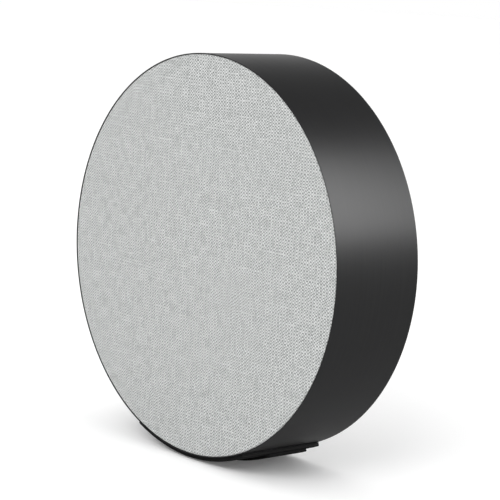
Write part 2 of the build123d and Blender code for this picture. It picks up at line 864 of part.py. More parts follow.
def make_lead_grommet():
    """Rubber plug with a collar outside the chamber wall, bored for the two speaker leads."""
    neck = Cylinder(lead_grommet_radius - lead_grommet_lip - thread_gap, lead_grommet_height)
    collar_height = lead_grommet_height / 2
    collar = Pos(0, 0, -collar_height / 2) * Cylinder(lead_grommet_radius, collar_height)
    to_place = Pos(0, lead_grommet_depth, driver_offset - chamber_outer)
    chamber_body = on_driver_axis(rod(chamber_outer, chamber_front, chamber_back))
    grommet = to_place * collar - chamber_body + to_place * neck
    bore = Cylinder(lead_radius + thread_gap, 2 * lead_grommet_height)
    for side in (-1, 1):
        grommet -= to_place * Pos(side * lead_spacing / 2, 0, 0) * bore
    return grommet


# ---------------------------------------------------------------- rear cover

def vent_slots(front, back):
    """Curved slots: one group each side and one below the port bay."""
    slots = []
    for middle in side_vent_angles:
        for row in range(side_vent_rows):
            inner = side_vent_radius + row * vent_slot_pitch
            slots.append(sector(inner, inner + vent_slot_width, front, back, middle, side_vent_half_angle))
    for row in range(low_vent_rows):
        inner = low_vent_radius + row * vent_slot_pitch
        slots.append(sector(inner, inner + vent_slot_width, front, back, BOTTOM, low_vent_half_angle))
    return slots


def socket_cutouts():
    """(x, width, tall) of each socket's hole in the bay floor."""
    gap = 2 * drop_in_gap
    return [
        (network_x, network_width + gap, network_tall + gap),
        (usb_x, usb_width + gap, usb_tall + gap),
        (power_x, power_width + gap, power_tall + gap),
    ]


def button_boss_places():
    """Two bosses in opposite corners of the button board."""
    out = button_boss_radius + button_boss_inset
    dx, dz = button_board_width / 2 - out, button_board_tall / 2 - out
    return [(button_board_x - dx, buttons_z - dz), (button_board_x + dx, buttons_z + dz)]


def make_rear_cover():
    """Moulded rear with a recessed port bay, screw bosses, vents and holes for the button and slider."""
    edge = rear_edge_chamfer
    cover = turned(
        (0, rear_inner), (rear_radius, rear_inner), (rear_radius, rear_outer - edge),
        (rear_radius - edge, rear_outer), (0, rear_outer),
    )
    outer_wide, outer_tall = bay_width + 2 * bay_wall, bay_height + 2 * bay_wall
    cover += block(outer_wide, bay_floor_inner, rear_inner, outer_tall, bay_x, bay_z)
    bay = block(bay_width, bay_floor_outer, ring_back, bay_height, bay_x, bay_z)
    cover -= fillet(bay.edges().filter_by(Axis.Y), bay_corner)
    for x, wide, tall in socket_cutouts():
        cover -= block(wide, bay_floor_inner, bay_floor_outer, tall, x, bay_z)
    head_radius, head_height, shank_radius = cover_screw
    for angle in rear_screw_angles:
        x, z = polar(mount_circle, angle)
        cover += rod(rear_boss_radius, flange_back, rear_inner, x, z)
        cover -= rod(shank_radius + screw_hole_gap, flange_back, rear_outer, x, z)
        cover -= rod(head_radius + drop_in_gap, rear_outer - head_height - drop_in_gap, rear_outer, x, z)
    for x, z in board_boss_places:
        cover += rod(board_boss_radius, board_back, rear_inner, x, z)
        cover -= rod(small_screw[2] + thread_gap, board_back, rear_inner, x, z)
    for x, z in button_boss_places():
        cover += rod(button_boss_radius, button_board_back, rear_inner, x, z)
        cover -= rod(small_screw[2] + thread_gap, button_board_back, rear_inner, x, z)
    for slot in vent_slots(rear_inner, rear_outer):
        cover -= slot
    cover -= rod(button_radius + button_gap, rear_inner, rear_outer, switch_x, buttons_z)
    cover -= block(slider_slot_length, rear_inner, rear_outer, slider_slot_tall, slider_x, buttons_z)
    groove = rear_seal_section / 2 + thread_gap
    middle = (rear_inner + rear_outer - edge) / 2
    cover -= tube(seal_groove_radius, ring_radius, middle - groove, middle + groove)
    return cover


def make_rear_seal():
    """Rubber ring in the rear cover's edge groove."""
    middle = (rear_inner + rear_outer - rear_edge_chamfer) / 2
    half = rear_seal_section / 2
    return tube(seal_groove_radius + thread_gap, ring_inner - thread_gap, middle - half, middle + half)


def make_rear_screws():
    head = rear_outer - drop_in_gap
    length = head - flange_front - drop_in_gap
    one = Pos(0, head, 0) * facing_back(screw(cover_screw, length))
    return [Pos(x, 0, z) * one for x, z in (polar(mount_circle, a) for a in rear_screw_angles)]


def make_vent_mesh():
    """Fine mesh sheets glued behind the vents."""
    front, back = rear_inner - vent_mesh_thickness, rear_inner
    margin = vent_mesh_margin
    pieces = []
    for middle in side_vent_angles:
        outer = side_vent_radius + side_vent_rows * vent_slot_pitch
        pieces.append(sector(side_vent_radius - margin, outer, front, back, middle,
                             side_vent_half_angle + margin))
    outer = low_vent_radius + low_vent_rows * vent_slot_pitch
    pieces.append(sector(low_vent_radius - margin, outer, front, back, BOTTOM,
                         low_vent_half_angle + margin))
    return pieces


# ---------------------------------------------------------------- main board and what is on it

def make_main_board():
    wide = 2 * board_half_width
    middle = (board_top + board_bottom) / 2
    board = block(wide, board_front, board_back, board_top - board_bottom, 0, middle)
    board &= rod(board_radius, board_front, board_back)
    for x, z in board_boss_places:
        board -= rod(small_screw[2] + screw_hole_gap, board_front, board_back, x, z)
    return board


def make_board_screws():
    """The small screws of the main, button and microphone boards."""
    head = small_screw[1]
    bite = 2 * small_screw_bite
    main = Pos(0, board_front - head, 0) * screw(small_screw, head + board_thickness + bite)
    found = [Pos(x, 0, z) * main for x, z in board_boss_places]
    length = head + button_board_thickness + small_screw_bite
    button = Pos(0, button_board_front - head, 0) * screw(small_screw, length)
    found += [Pos(x, 0, z) * button for x, z in button_boss_places()]
    length = head + mic_board_thickness + small_screw_bite
    mic = Pos(0, mic_board_front - head, 0) * screw(small_screw, length)
    found += [Pos(x, 0, z) * mic for x, z in mic_boss_places()]
    return found


def make_network_socket():
    """Upright eight-way network socket, its mouth towards the rear."""
    wide, tall = network_mouth
    latch_wide, latch_tall = network_latch
    contact_wide, contact_long, contact_tall = network_contact
    middle = bay_z + network_mouth_lift
    floor = socket_mouth - network_mouth_depth
    body = block(network_width, board_back, socket_mouth, network_tall, network_x, bay_z)
    body -= block(wide, floor, socket_mouth, tall, network_x, middle)
    body -= block(latch_wide, floor, socket_mouth, 2 * latch_tall, network_x, middle - tall / 2)
    for number in range(network_contacts):
        x = network_x + (number - (network_contacts - 1) / 2) * network_contact_pitch
        body += block(contact_wide, floor, floor + contact_long, 2 * contact_tall, x, middle + tall / 2)
    return body


def make_usb_socket():
    """Upright USB socket: sheet shell round a tongue."""
    body = block(usb_width, board_back, socket_mouth, usb_tall, usb_x, bay_z)
    floor = socket_mouth - usb_depth
    body -= block(usb_width - 2 * usb_shell, floor, socket_mouth, usb_tall - 2 * usb_shell, usb_x, bay_z)
    under_shell = bay_z + usb_tall / 2 - usb_shell
    tongue = block(usb_tongue_width, floor, socket_mouth - usb_tongue_setback, usb_tongue_thickness,
                   usb_x, under_shell - usb_tongue_thickness / 2 - drop_in_gap)
    return body + tongue


def make_power_socket():
    """Upright USB-C power inlet with its round-ended shell and middle tongue."""
    floor = socket_mouth - power_depth
    inner_tall = power_tall - 2 * power_shell
    shell = block(power_width, board_back, socket_mouth, power_tall, power_x, bay_z)
    shell = fillet(shell.edges().filter_by(Axis.Y), power_tall * 0.45)
    hollow = block(power_width - 2 * power_shell, floor, socket_mouth, inner_tall, power_x, bay_z)
    hollow = fillet(hollow.edges().filter_by(Axis.Y), inner_tall * 0.45)
    tongue = block(power_tongue_width, floor, socket_mouth - power_tongue_setback,
                   power_tongue_thickness, power_x, bay_z)
    return shell - hollow + tongue


def make_processor():
    return block(processor_size, processor_front, board_front, processor_size, 0, heat_sink_z)


def make_thermal_pad():
    return block(processor_size, heat_sink_back, processor_front, processor_size, 0, heat_sink_z)


def make_heat_sink():
    """Finned block on the processor."""
    base_front = heat_sink_back - heat_sink_base
    front = heat_sink_back - heat_sink_height
    sink = block(heat_sink_width, base_front, heat_sink_back, heat_sink_tall, 0, heat_sink_z)
    pitch = (heat_sink_width - heat_sink_fin) / (heat_sink_fins - 1)
    for number in range(heat_sink_fins):
        x = (number - (heat_sink_fins - 1) / 2) * pitch
        sink += block(heat_sink_fin, front, base_front, heat_sink_tall, x, heat_sink_z)
    return sink


def make_shield_cans():
    """Pressed covers over the radio and power circuits, on the board's front."""
    cans = []
    for x, z, wide, tall in shields:
        can = block(wide, board_front - shield_height, board_front, tall, x, z)
        cans.append(fillet(can.edges().group_by(Axis.Y)[0], shield_edge))
    return cans


def make_radio_modules():
    """Two plug-on radio modules on the board's rear."""
    card_wide, card_thick, card_tall = radio_card
    can_wide, can_height, can_tall = radio_can
    top = board_back + card_thick
    modules = []
    for x, z in radio_places:
        card = block(card_wide, board_back, top, card_tall, x, z)
        modules.append(card + block(can_wide, top, top + can_height, can_tall, x, z + radio_can_lift))
    return modules


def make_memory_chips():
    """Memory, flash and controller chips on both sides of the board."""
    chips = [block(wide, board_back, board_back + chip_height, tall, x, z)
             for x, z, wide, tall in rear_chips]
    chips += [block(wide, board_front - chip_height, board_front, tall, x, z)
              for x, z, wide, tall in front_chips]
    return chips


def make_power_capacitors():
    """Upright electrolytic capacitors near the power inlet."""
    base_wide, base_height = capacitor_base
    top = board_back + base_height
    cans = []
    for x, z in capacitor_places:
        can = rod(capacitor_radius, top, board_back + capacitor_height, x, z)
        can = fillet(can.edges().group_by(Axis.Y)[-1], capacitor_edge)
        cans.append(can + block(base_wide, board_back, top, base_wide, x, z))
    return cans


# ---------------------------------------------------------------- button and slider

def make_button_board():
    board = block(button_board_width, button_board_front, button_board_back, button_board_tall,
                  button_board_x, buttons_z)
    for x, z in button_boss_places():
        board -= rod(small_screw[2] + screw_hole_gap, button_board_front, button_board_back, x, z)
    return board


def make_board_header():
    """Pin header that joins the button board to the main board."""
    wide, tall = header_size
    x, z = header_offset
    return block(wide, board_back, button_board_front, tall, button_board_x + x, buttons_z + z)


def make_pairing_switch():
    """Push switch with a well for its plunger."""
    body = block(switch_size, button_board_back, switch_top, switch_size, switch_x, buttons_z)
    well = switch_top - plunger_in - button_travel - drop_in_gap
    return body - rod(plunger_radius + running_gap, well, switch_top, switch_x, buttons_z)


def make_pairing_plunger():
    return rod(plunger_radius, switch_top - plunger_in, switch_top + plunger_out, switch_x, buttons_z)


def make_pairing_button():
    """Round button with a retaining flange behind the rear cover and a dished face."""
    flange_front = button_flange_back - button_flange_height
    button = rod(button_stem_radius, switch_top + plunger_out, flange_front, switch_x, buttons_z)
    button += rod(button_radius + button_flange, flange_front, button_flange_back, switch_x, buttons_z)
    cap = rod(button_radius, button_flange_back, button_face, switch_x, buttons_z)
    button += fillet(cap.edges().group_by(Axis.Y)[-1], button_face_round)
    dish_middle = button_face + button_dish_radius - button_dish_depth
    return button - Pos(switch_x, dish_middle, buttons_z) * Sphere(button_dish_radius)


def make_mute_switch():
    """Slide switch body with a slot for the slider's stem."""
    body = block(slide_switch_length, button_board_back, slide_switch_top, slide_switch_tall,
                 slider_x, buttons_z)
    slot_length = slider_stem + slider_travel + 2 * drop_in_gap
    slot = block(slot_length, slide_switch_top - slider_stem_reach - drop_in_gap, slide_switch_top,
                 slider_stem + 2 * drop_in_gap, slider_x, buttons_z)
    return body - slot


def make_mute_slider():
    """Ribbed slider, at its -X end at rest, with a flange that hides its slot from behind."""
    x = slider_x - slider_travel / 2
    flange_front = button_flange_back - slider_flange_height
    foot = slide_switch_top - slider_stem_reach
    slider = block(slider_stem, foot, flange_front, slider_stem, x, buttons_z)
    flange_length = slider_slot_length + slider_travel + 2 * slider_flange
    slider += block(flange_length, flange_front, button_flange_back,
                    slider_slot_tall + 2 * slider_flange, x, buttons_z)
    slider += block(slider_length, button_flange_back, button_face, slider_tall, x, buttons_z)
    for number in (-1, 0, 1):
        slider -= block(slider_grip_width, button_face - slider_grip_depth, button_face, slider_tall,
                        x + slider_grip_pitch * number, buttons_z)
    return slider


# ---------------------------------------------------------------- microphones and lights

def make_mic_board():
    board = sector(mic_board_inner, mic_board_outer, mic_board_front, mic_board_back, 90,
                   mic_board_half_angle)
    for x, z in mic_boss_places():
        board -= rod(small_screw[2] + screw_hole_gap, mic_board_front, mic_board_back, x, z)
    return board


def make_microphones():
    """Microphone capsules on the board's front, each with its sound hole."""
    wide, height, tall = mic_size
    radius = mic_board_inner + mic_place
    front = mic_board_front - height
    capsule = block(wide, front, mic_board_front, tall, radius)
    capsule -= rod(mic_hole_radius, front, front + mic_hole_depth, radius)
    return [at_angle(capsule, angle) for angle in mic_angles]


def make_status_lights():
    light = block(led_size, mic_board_front - led_height, mic_board_front, led_size,
                  mic_board_inner + led_place)
    return [at_angle(light, angle) for angle in led_angles]


def make_light_guide():
    """Frosted bar that spreads the status lights behind the cloth, on a leg at each end."""
    middle = mic_board_inner + led_place
    inner, outer = middle - guide_width / 2, middle + guide_width / 2
    back = mic_board_front - led_height - drop_in_gap
    guide = sector(inner, outer, back - guide_thickness, back, 90, guide_half_angle)
    for side in (-1, 1):
        leg_angle = 90 + side * (guide_half_angle - guide_leg_half_angle)
        guide += sector(inner, outer, back, mic_board_front, leg_angle, guide_leg_half_angle)
    return guide


def make_mic_flex():
    """Flat flexible cable from the microphone board round the loudspeaker and through the baffle."""
    front = baffle_front - flex_thickness
    middle = (flex_top_angle + flex_low_angle) / 2
    half = (flex_top_angle - flex_low_angle) / 2
    flex = sector(flex_inner, flex_outer, front, baffle_front, middle, half)
    tab_outer = mic_board_inner + mic_boss_place
    flex += sector(flex_outer - flex_thickness, tab_outer, front, baffle_front, flex_top_angle,
                   flex_tab_half_angle)
    rise_angle = flex_top_angle + flex_tab_half_angle / 2
    flex += sector(mic_board_inner, tab_outer, mic_board_back, baffle_front, rise_angle,
                   flex_tab_half_angle / 2)
    return flex + sector(flex_inner, flex_outer, front, baffle_back + flex_tail_reach,
                         flex_low_angle + flex_tail_half_angle, flex_tail_half_angle)


# ---------------------------------------------------------------- antennas and leads

def make_antennas():
    """Flexible antennas stuck to the baffle's rear: one each side and one below."""
    wide, tall = side_antenna
    found = [block(wide, baffle_back, antenna_back, tall, side * side_antenna_x, side_antenna_z)
             for side in (-1, 1)]
    wide, tall = low_antenna
    found.append(block(wide, baffle_back, antenna_back, tall, 0, low_antenna_z))
    return found


def make_antenna_leads():
    """Thin coaxial leads from each antenna to its plug on the main board's front."""
    y = antenna_back + coax_radius + thread_gap
    low = side_antenna_z - side_antenna[1] / 2
    end = board_front - coax_plug_height
    plugs = []
    found = []
    for side in (-1, 1):
        x = side * side_antenna_x
        found.append(lead(coax_radius, (x, y, low + 6), (x, y, low - 6), (side * 66, y + 1.5, low - 13),
                          (side * 60.5, y + 6, low - 15.5), (side * 60, end, low - 16)))
        plugs.append((side * 60, low - 16))
    found.append(lead(coax_radius, (8, y, low_antenna_z), (20, y, low_antenna_z + 0.5),
                      (30, y + 1.5, low_antenna_z + 5), (34.5, y + 5, low_antenna_z + 9),
                      (35, end, low_antenna_z + 10)))
    plugs.append((35, low_antenna_z + 10))
    return found + [rod(coax_plug_radius, end, board_front, x, z) for x, z in plugs]


def make_speaker_leads():
    """The loudspeaker's two insulated leads, from its tags through the grommet to a plug on the board."""
    plug_wide, plug_high, plug_tall = lead_plug
    start_y = (terminal_front + terminal_back) / 2 + lead_radius
    start_z = terminal_bottom - tag_length - lead_radius
    y = lead_grommet_depth
    exit_z = driver_offset - chamber_outer
    plug_top = board_top - lead_plug_drop
    found = []
    for side in (-1, 1):
        x = side * lead_spacing / 2
        found.append(lead(lead_radius, (side * lead_spacing, start_y, start_z),
                          (side * lead_spacing, start_y, start_z - 4), (x, y, exit_z + 6),
                          (x, y, exit_z - 5), (x, board_back + 3.2, plug_top + 3),
                          (x, board_back + plug_high / 2, plug_top)))
    plug = block(plug_wide, board_back, board_back + plug_high, plug_tall, 0, plug_top - plug_tall / 2)
    return [*found, plug]


# ---------------------------------------------------------------- writing the parts

parts = {
    "body_ring": make_body_ring(),
    "foot_pad": make_foot_pad(),
    "foot_sole": make_foot_sole(),
    "foot_screws": make_foot_screws(),
    "foot_backing_plate": make_foot_backing(),
    "cover_frame": make_cover_frame(),
    "front_cloth": make_front_cloth(),
    "cover_pegs": make_cover_pegs(),
    "cover_grommets": make_cover_grommets(),
    "front_baffle": make_front_baffle(),
    "baffle_screws": make_baffle_screws(),
    "driver_gasket": make_driver_gasket(),
    "driver_basket": make_driver_basket(),
    "driver_top_plate": make_driver_top_plate(),
    "driver_magnet": make_driver_magnet(),
    "driver_yoke": make_driver_yoke(),
    "driver_cone": make_driver_cone(),
    "dust_cap": make_dust_cap(),
    "coil_former": make_coil_former(),
    "coil_winding": make_coil_winding(),
    "driver_surround": make_driver_surround(),
    "driver_spider": make_driver_spider(),
    "driver_screws": make_driver_screws(),
    "driver_terminals": make_driver_terminals(),
    "speaker_chamber": make_speaker_chamber(),
    "chamber_seal": make_chamber_seal(),
    "chamber_screws": make_chamber_screws(),
    "lead_grommet": make_lead_grommet(),
    "rear_cover": make_rear_cover(),
    "rear_seal": make_rear_seal(),
    "rear_screws": make_rear_screws(),
    "vent_mesh": make_vent_mesh(),
    "main_board": make_main_board(),
    "board_screws": make_board_screws(),
    "network_socket": make_network_socket(),
    "usb_socket": make_usb_socket(),
    "power_socket": make_power_socket(),
    "processor": make_processor(),
    "thermal_pad": make_thermal_pad(),
    "heat_sink": make_heat_sink(),
    "shield_cans": make_shield_cans(),
    "radio_modules": make_radio_modules(),
    "memory_chips": make_memory_chips(),
    "power_capacitors": make_power_capacitors(),
    "button_board": make_button_board(),
    "board_header": make_board_header(),
    "pairing_switch": make_pairing_switch(),
    "pairing_plunger": make_pairing_plunger(),
    "pairing_button": make_pairing_button(),
    "mute_switch": make_mute_switch(),
    "mute_slider": make_mute_slider(),
    "mic_board": make_mic_board(),
    "microphones": make_microphones(),
    "status_lights": make_status_lights(),
    "light_guide": make_light_guide(),
    "mic_flex": make_mic_flex(),
    "antennas": make_antennas(),
    "antenna_leads": make_antenna_leads(),
    "speaker_leads": make_speaker_leads(),
}

os.makedirs("parts", exist_ok=True)
standing = Pos(0, 0, axis_height)
for name, made in parts.items():
    pieces = made if isinstance(made, list) else [made]
    solids = [standing * solid for piece in pieces for solid in piece.solids()]
    export_step(Compound(children=solids), f"parts/{name}.step")
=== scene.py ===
"""Looks for a round smart home hub: a dark metal ring on a curved foot, closed by a woven cloth front."""

from math import asin, cos, hypot, pi, radians, sin

import bmesh
import bpy
from mathutils import Matrix, Vector


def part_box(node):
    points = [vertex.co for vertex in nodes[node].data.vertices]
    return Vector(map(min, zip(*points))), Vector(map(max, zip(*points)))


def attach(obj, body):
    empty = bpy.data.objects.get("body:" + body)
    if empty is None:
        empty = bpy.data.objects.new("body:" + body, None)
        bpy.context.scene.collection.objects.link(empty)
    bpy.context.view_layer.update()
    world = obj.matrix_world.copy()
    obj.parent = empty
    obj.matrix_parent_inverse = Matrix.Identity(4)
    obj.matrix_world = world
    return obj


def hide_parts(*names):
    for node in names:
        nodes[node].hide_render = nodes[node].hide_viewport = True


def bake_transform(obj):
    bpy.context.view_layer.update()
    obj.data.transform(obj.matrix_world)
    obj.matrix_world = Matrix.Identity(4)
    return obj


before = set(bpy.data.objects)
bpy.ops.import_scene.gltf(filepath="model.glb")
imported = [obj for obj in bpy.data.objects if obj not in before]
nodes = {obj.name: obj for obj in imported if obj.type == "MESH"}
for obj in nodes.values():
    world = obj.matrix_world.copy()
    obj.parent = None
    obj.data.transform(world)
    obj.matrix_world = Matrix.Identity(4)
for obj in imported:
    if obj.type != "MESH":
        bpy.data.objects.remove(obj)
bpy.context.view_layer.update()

# ---- The studio -------------------------------------------------------------------------------
# The hub stands on a wide pale floor that glows a little, under a white sky. A soft light near its right
# side shows only in reflections and draws the highlight across the ring; a larger one fills the cloth.

ring_low, ring_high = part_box("body_ring")
ring_radius = (ring_high.x - ring_low.x) / 2
ring_front, ring_back = ring_low.y, ring_high.y
axis_height = ring_high.z - ring_radius
ring_centre = Vector((0, 0, axis_height))

camera_azimuth = radians(48.64)
camera_elevation = radians(8.59)
camera_roll = radians(3.34)
camera_distance = 10 * ring_radius
aim_right = 0.0063
aim_up = 0.0016
lens_mm = 143.13
film_width_mm = 36.0

outwards = Vector((sin(camera_azimuth) * cos(camera_elevation),
                   -cos(camera_azimuth) * cos(camera_elevation),
                   sin(camera_elevation)))
level_right = Vector((cos(camera_azimuth), sin(camera_azimuth), 0))
level_up = outwards.cross(level_right)
view_right = level_right * cos(camera_roll) + level_up * sin(camera_roll)
view_up = level_up * cos(camera_roll) - level_right * sin(camera_roll)
camera_place = ring_centre + outwards * camera_distance
look_back = (camera_place - ring_centre - view_right * aim_right - view_up * aim_up).normalized()
side = view_up.cross(look_back).normalized()
turn = Matrix((side, look_back.cross(side), look_back)).transposed()

camera_data = bpy.data.cameras.new("camera")
camera_data.lens = lens_mm
camera_data.sensor_width = film_width_mm
camera = bpy.data.objects.new("camera", camera_data)
camera.matrix_world = Matrix.Translation(camera_place) @ turn.to_4x4()
bpy.context.scene.collection.objects.link(camera)
bpy.context.scene.camera = camera
bpy.context.scene.view_settings.view_transform = "Standard"


def soft_light(name, direction, distance, size, power, only_reflected=False):
    """A rectangular light that faces the ring's centre; direction points from the ring to it.

    One that is only_reflected is seen in glossy faces and lights nothing else.
    """
    data = bpy.data.lights.new(name, "AREA")
    data.shape = "RECTANGLE"
    data.size, data.size_y = size
    data.energy = power
    light = bpy.data.objects.new(name, data)
    towards = Vector(direction).normalized()
    light.matrix_world = (Matrix.Translation(ring_centre + towards * distance)
                          @ towards.to_track_quat("Z", "Y").to_matrix().to_4x4())
    light.visible_diffuse = not only_reflected
    bpy.context.scene.collection.objects.link(light)


soft_light("side_softbox", (0.68, 0.34, 0.455), 0.6, (0.36, 0.42), 10.2, only_reflected=True)
soft_light("front_softbox", (0.5, -1.0, 0.9), 2.4, (1.4, 1.0), 22)

# The sky is plain white to look at and as light, but reflections see it darken overhead.
world = bpy.data.worlds.new("studio_sky")
world.use_nodes = True
bpy.context.scene.world = world
sky = world.node_tree
sky_place = sky.nodes.new("ShaderNodeTexCoord")
sky_split = sky.nodes.new("ShaderNodeSeparateXYZ")
sky_ramp = sky.nodes.new("ShaderNodeValToRGB")
sky_path = sky.nodes.new("ShaderNodeLightPath")
sky_mix = sky.nodes.new("ShaderNodeMix")
sky_mix.data_type = "RGBA"
sky.links.new(sky_place.outputs["Generated"], sky_split.inputs["Vector"])
sky.links.new(sky_split.outputs["Z"], sky_ramp.inputs["Fac"])
sky.links.new(sky_path.outputs["Is Glossy Ray"], sky_mix.inputs[0])
sky_mix.inputs[6].default_value = (1.0, 1.0, 1.0, 1)
sky.links.new(sky_ramp.outputs["Color"], sky_mix.inputs[7])
sky.links.new(sky_mix.outputs[2], sky.nodes["Background"].inputs["Color"])
for position, level in ((0.12, 0.95), (0.5, 0.37), (0.7, 0.12)):
    stop = sky_ramp.color_ramp.elements.new(position)
    stop.color = (level, level, level, 1)
sky_ramp.color_ramp.elements.remove(sky_ramp.color_ramp.elements[0])
sky_ramp.color_ramp.elements.remove(sky_ramp.color_ramp.elements[-1])
sky.nodes["Background"].inputs["Strength"].default_value = 1.0


def new_material(name, colour, roughness, metallic=0.0):
    """A material with one Principled shader, whose plain values are set on its own sockets."""
    material = bpy.data.materials.new(name)
    material.use_nodes = True
    shader = material.node_tree.nodes["Principled BSDF"]
    shader.inputs["Base Color"].default_value = (*colour, 1)
    shader.inputs["Roughness"].default_value = roughness
    shader.inputs["Metallic"].default_value = metallic
    return material, material.node_tree, shader


# Reflections see a greyer floor, which keeps the underside of the ring dark.
floor_reach = 9.0
floor_tone = 0.97
floor_tone_reflected = 0.38
floor_glow = 0.08
floor_bm = bmesh.new()
bmesh.ops.create_circle(floor_bm, cap_ends=True, segments=96, radius=floor_reach)
floor_mesh = bpy.data.meshes.new("floor")
floor_bm.to_mesh(floor_mesh)
floor_bm.free()
floor = bpy.data.objects.new("floor", floor_mesh)
bpy.context.scene.collection.objects.link(floor)
floor_material, floor_tree, floor_shader = new_material("pale_floor", (floor_tone,) * 3, 0.8)
floor_shader.inputs["Specular IOR Level"].default_value = 0.2
floor_shader.inputs["Emission Color"].default_value = (1, 1, 1, 1)
floor_shader.inputs["Emission Strength"].default_value = floor_glow
floor_path = floor_tree.nodes.new("ShaderNodeLightPath")
floor_mix = floor_tree.nodes.new("ShaderNodeMix")
floor_mix.data_type = "RGBA"
for socket, tone in ((6, floor_tone), (7, floor_tone_reflected)):
    floor_mix.inputs[socket].default_value = (tone, tone, tone, 1)
floor_tree.links.new(floor_path.outputs["Is Glossy Ray"], floor_mix.inputs[0])
floor_tree.links.new(floor_mix.outputs[2], floor_shader.inputs["Base Color"])
floor_mesh.materials.append(floor_material)


# ---- Metal ring -------------------------------------------------------------------------------
# One turned aluminium ring, anodised dark and brushed finely round its outside. Its front edge is
# thinned to a narrow lip round the cloth, and an inner flange carries the screws of both halves.

edge_land = 0.0003
ring_wall = 0.0018
flange_width = 0.008
flange_thickness = 0.002
lip_depth = 0.0061
ring_steps = 288
edge_round = 0.00025
inner_round = 0.00012
sharp_turn = 0.5


def lathe(outline, steps, closed=True, centre=ring_centre, start=0.0, arc=2 * pi):
    """A bmesh spun about an axis along Y through centre, from (radius, depth) points.

    Angles run from +X towards +Z. A part turn of a closed outline gets its two end faces.
    """
    bm = bmesh.new()
    verts = [bm.verts.new((centre.x + radius * cos(start), depth, centre.z + radius * sin(start)))
             for radius, depth in outline]
    ends = zip(verts, verts[1:] + verts[:1]) if closed else zip(verts, verts[1:])
    edges = [bm.edges.new(pair) for pair in ends]
    whole = arc == 2 * pi
    bmesh.ops.spin(bm, geom=verts + edges, cent=centre, axis=(0, -1, 0), angle=arc,
                   steps=steps, use_merge=whole)
    if closed and not whole:
        bmesh.ops.holes_fill(bm, edges=[e for e in bm.edges if e.is_boundary], sides=0)
    bmesh.ops.remove_doubles(bm, verts=bm.verts, dist=1e-7)
    bmesh.ops.recalc_face_normals(bm, faces=bm.faces)
    return bm


def round_edges(bm, size, segments, chosen=None):
    """Bevels the sharp edges, or only the chosen ones of them."""
    edges = [e for e in bm.edges if e.is_manifold and e.calc_face_angle(0) > sharp_turn
             and (chosen is None or chosen(e))]
    bmesh.ops.bevel(bm, geom=edges, offset=size, segments=segments, profile=0.5, affect="EDGES",
                    clamp_overlap=True, material=-1)


def add_piece(bm, name, body, material, slot, *replaced):
    """Makes the shown piece from its bmesh, with smooth shading that breaks at sharp edges.

    A piece given no body is left unattached.
    """
    for face in bm.faces:
        face.smooth = True
    for edge in bm.edges:
        edge.smooth = not edge.is_manifold or edge.calc_face_angle(0) < radians(40)
    mesh = bpy.data.meshes.new(name)
    bm.to_mesh(mesh)
    bm.free()
    mesh.materials.append(material)
    piece = bpy.data.objects.new(name, mesh)
    bpy.context.scene.collection.objects.link(piece)
    if body:
        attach(piece, body)
    if replaced:
        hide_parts(*replaced)
    return piece


def even_shading(piece):
    """Keeps wide faces shaded flat right up to their rounded edges."""
    weighting = piece.modifiers.new("even_shading", "WEIGHTED_NORMAL")
    weighting.mode = "FACE_AREA"
    weighting.weight = 100
    weighting.keep_sharp = True


def new_group(name, inputs, outputs):
    """An empty shader node group with these (name, kind, default) inputs and (name, kind) outputs."""
    group = bpy.data.node_groups.new(name, "ShaderNodeTree")
    for label, kind, value in inputs:
        made = group.interface.new_socket(label, in_out="INPUT", socket_type=f"NodeSocket{kind}")
        if value is not None:
            made.default_value = value
    for label, kind in outputs:
        group.interface.new_socket(label, in_out="OUTPUT", socket_type=f"NodeSocket{kind}")
    return group, group.nodes.new("NodeGroupInput"), group.nodes.new("NodeGroupOutput")


def maths(tree, operation, first, second=None, third=None):
    """A Math node; each value is a socket or a number."""
    node = tree.nodes.new("ShaderNodeMath")
    node.operation = operation
    for socket, value in zip(node.inputs, (first, second, third)):
        if isinstance(value, bpy.types.NodeSocket):
            tree.links.new(value, socket)
        elif value is not None:
            socket.default_value = value
    return node.outputs["Value"]


def noise(tree, vector, scale, detail=2.0, roughness=0.5):
    """A noise texture's value at a vector, with scale in cells per metre."""
    node = tree.nodes.new("ShaderNodeTexNoise")
    node.inputs["Scale"].default_value = scale
    node.inputs["Detail"].default_value = detail
    node.inputs["Roughness"].default_value = roughness
    tree.links.new(vector, node.inputs["Vector"])
    return node.outputs["Fac"]


def stretched(tree, vector, scale):
    """The vector with each part multiplied, to draw a pattern out along one direction."""
    node = tree.nodes.new("ShaderNodeVectorMath")
    node.operation = "MULTIPLY"
    node.inputs[1].default_value = scale
    tree.links.new(vector, node.inputs[0])
    return node.outputs["Vector"]


def blended(tree, amount, first, second):
    """A colour between two, each a socket or (r, g, b); amount is a socket."""
    node = tree.nodes.new("ShaderNodeMix")
    node.data_type = "RGBA"
    tree.links.new(amount, node.inputs[0])
    for socket, value in ((node.inputs[6], first), (node.inputs[7], second)):
        if isinstance(value, bpy.types.NodeSocket):
            tree.links.new(value, socket)
        else:
            socket.default_value = (*value, 1)
    return node.outputs[2]


def between(tree, value, low, high):
    """A 0 to 1 value mapped onto low to high."""
    return maths(tree, "MULTIPLY_ADD", value, high - low, low)


def raised(tree, shader, height, depth):
    """Bumps the shader's surface by a 0 to 1 height times depth, in metres."""
    bump = tree.nodes.new("ShaderNodeBump")
    bump.inputs["Distance"].default_value = depth
    bump.inputs["Strength"].default_value = 1.0
    tree.links.new(height, bump.inputs["Height"])
    tree.links.new(bump.outputs["Normal"], shader.inputs["Normal"])


def object_place(tree):
    """Each point's place in the object's own coordinates."""
    return tree.nodes.new("ShaderNodeTexCoord").outputs["Object"]


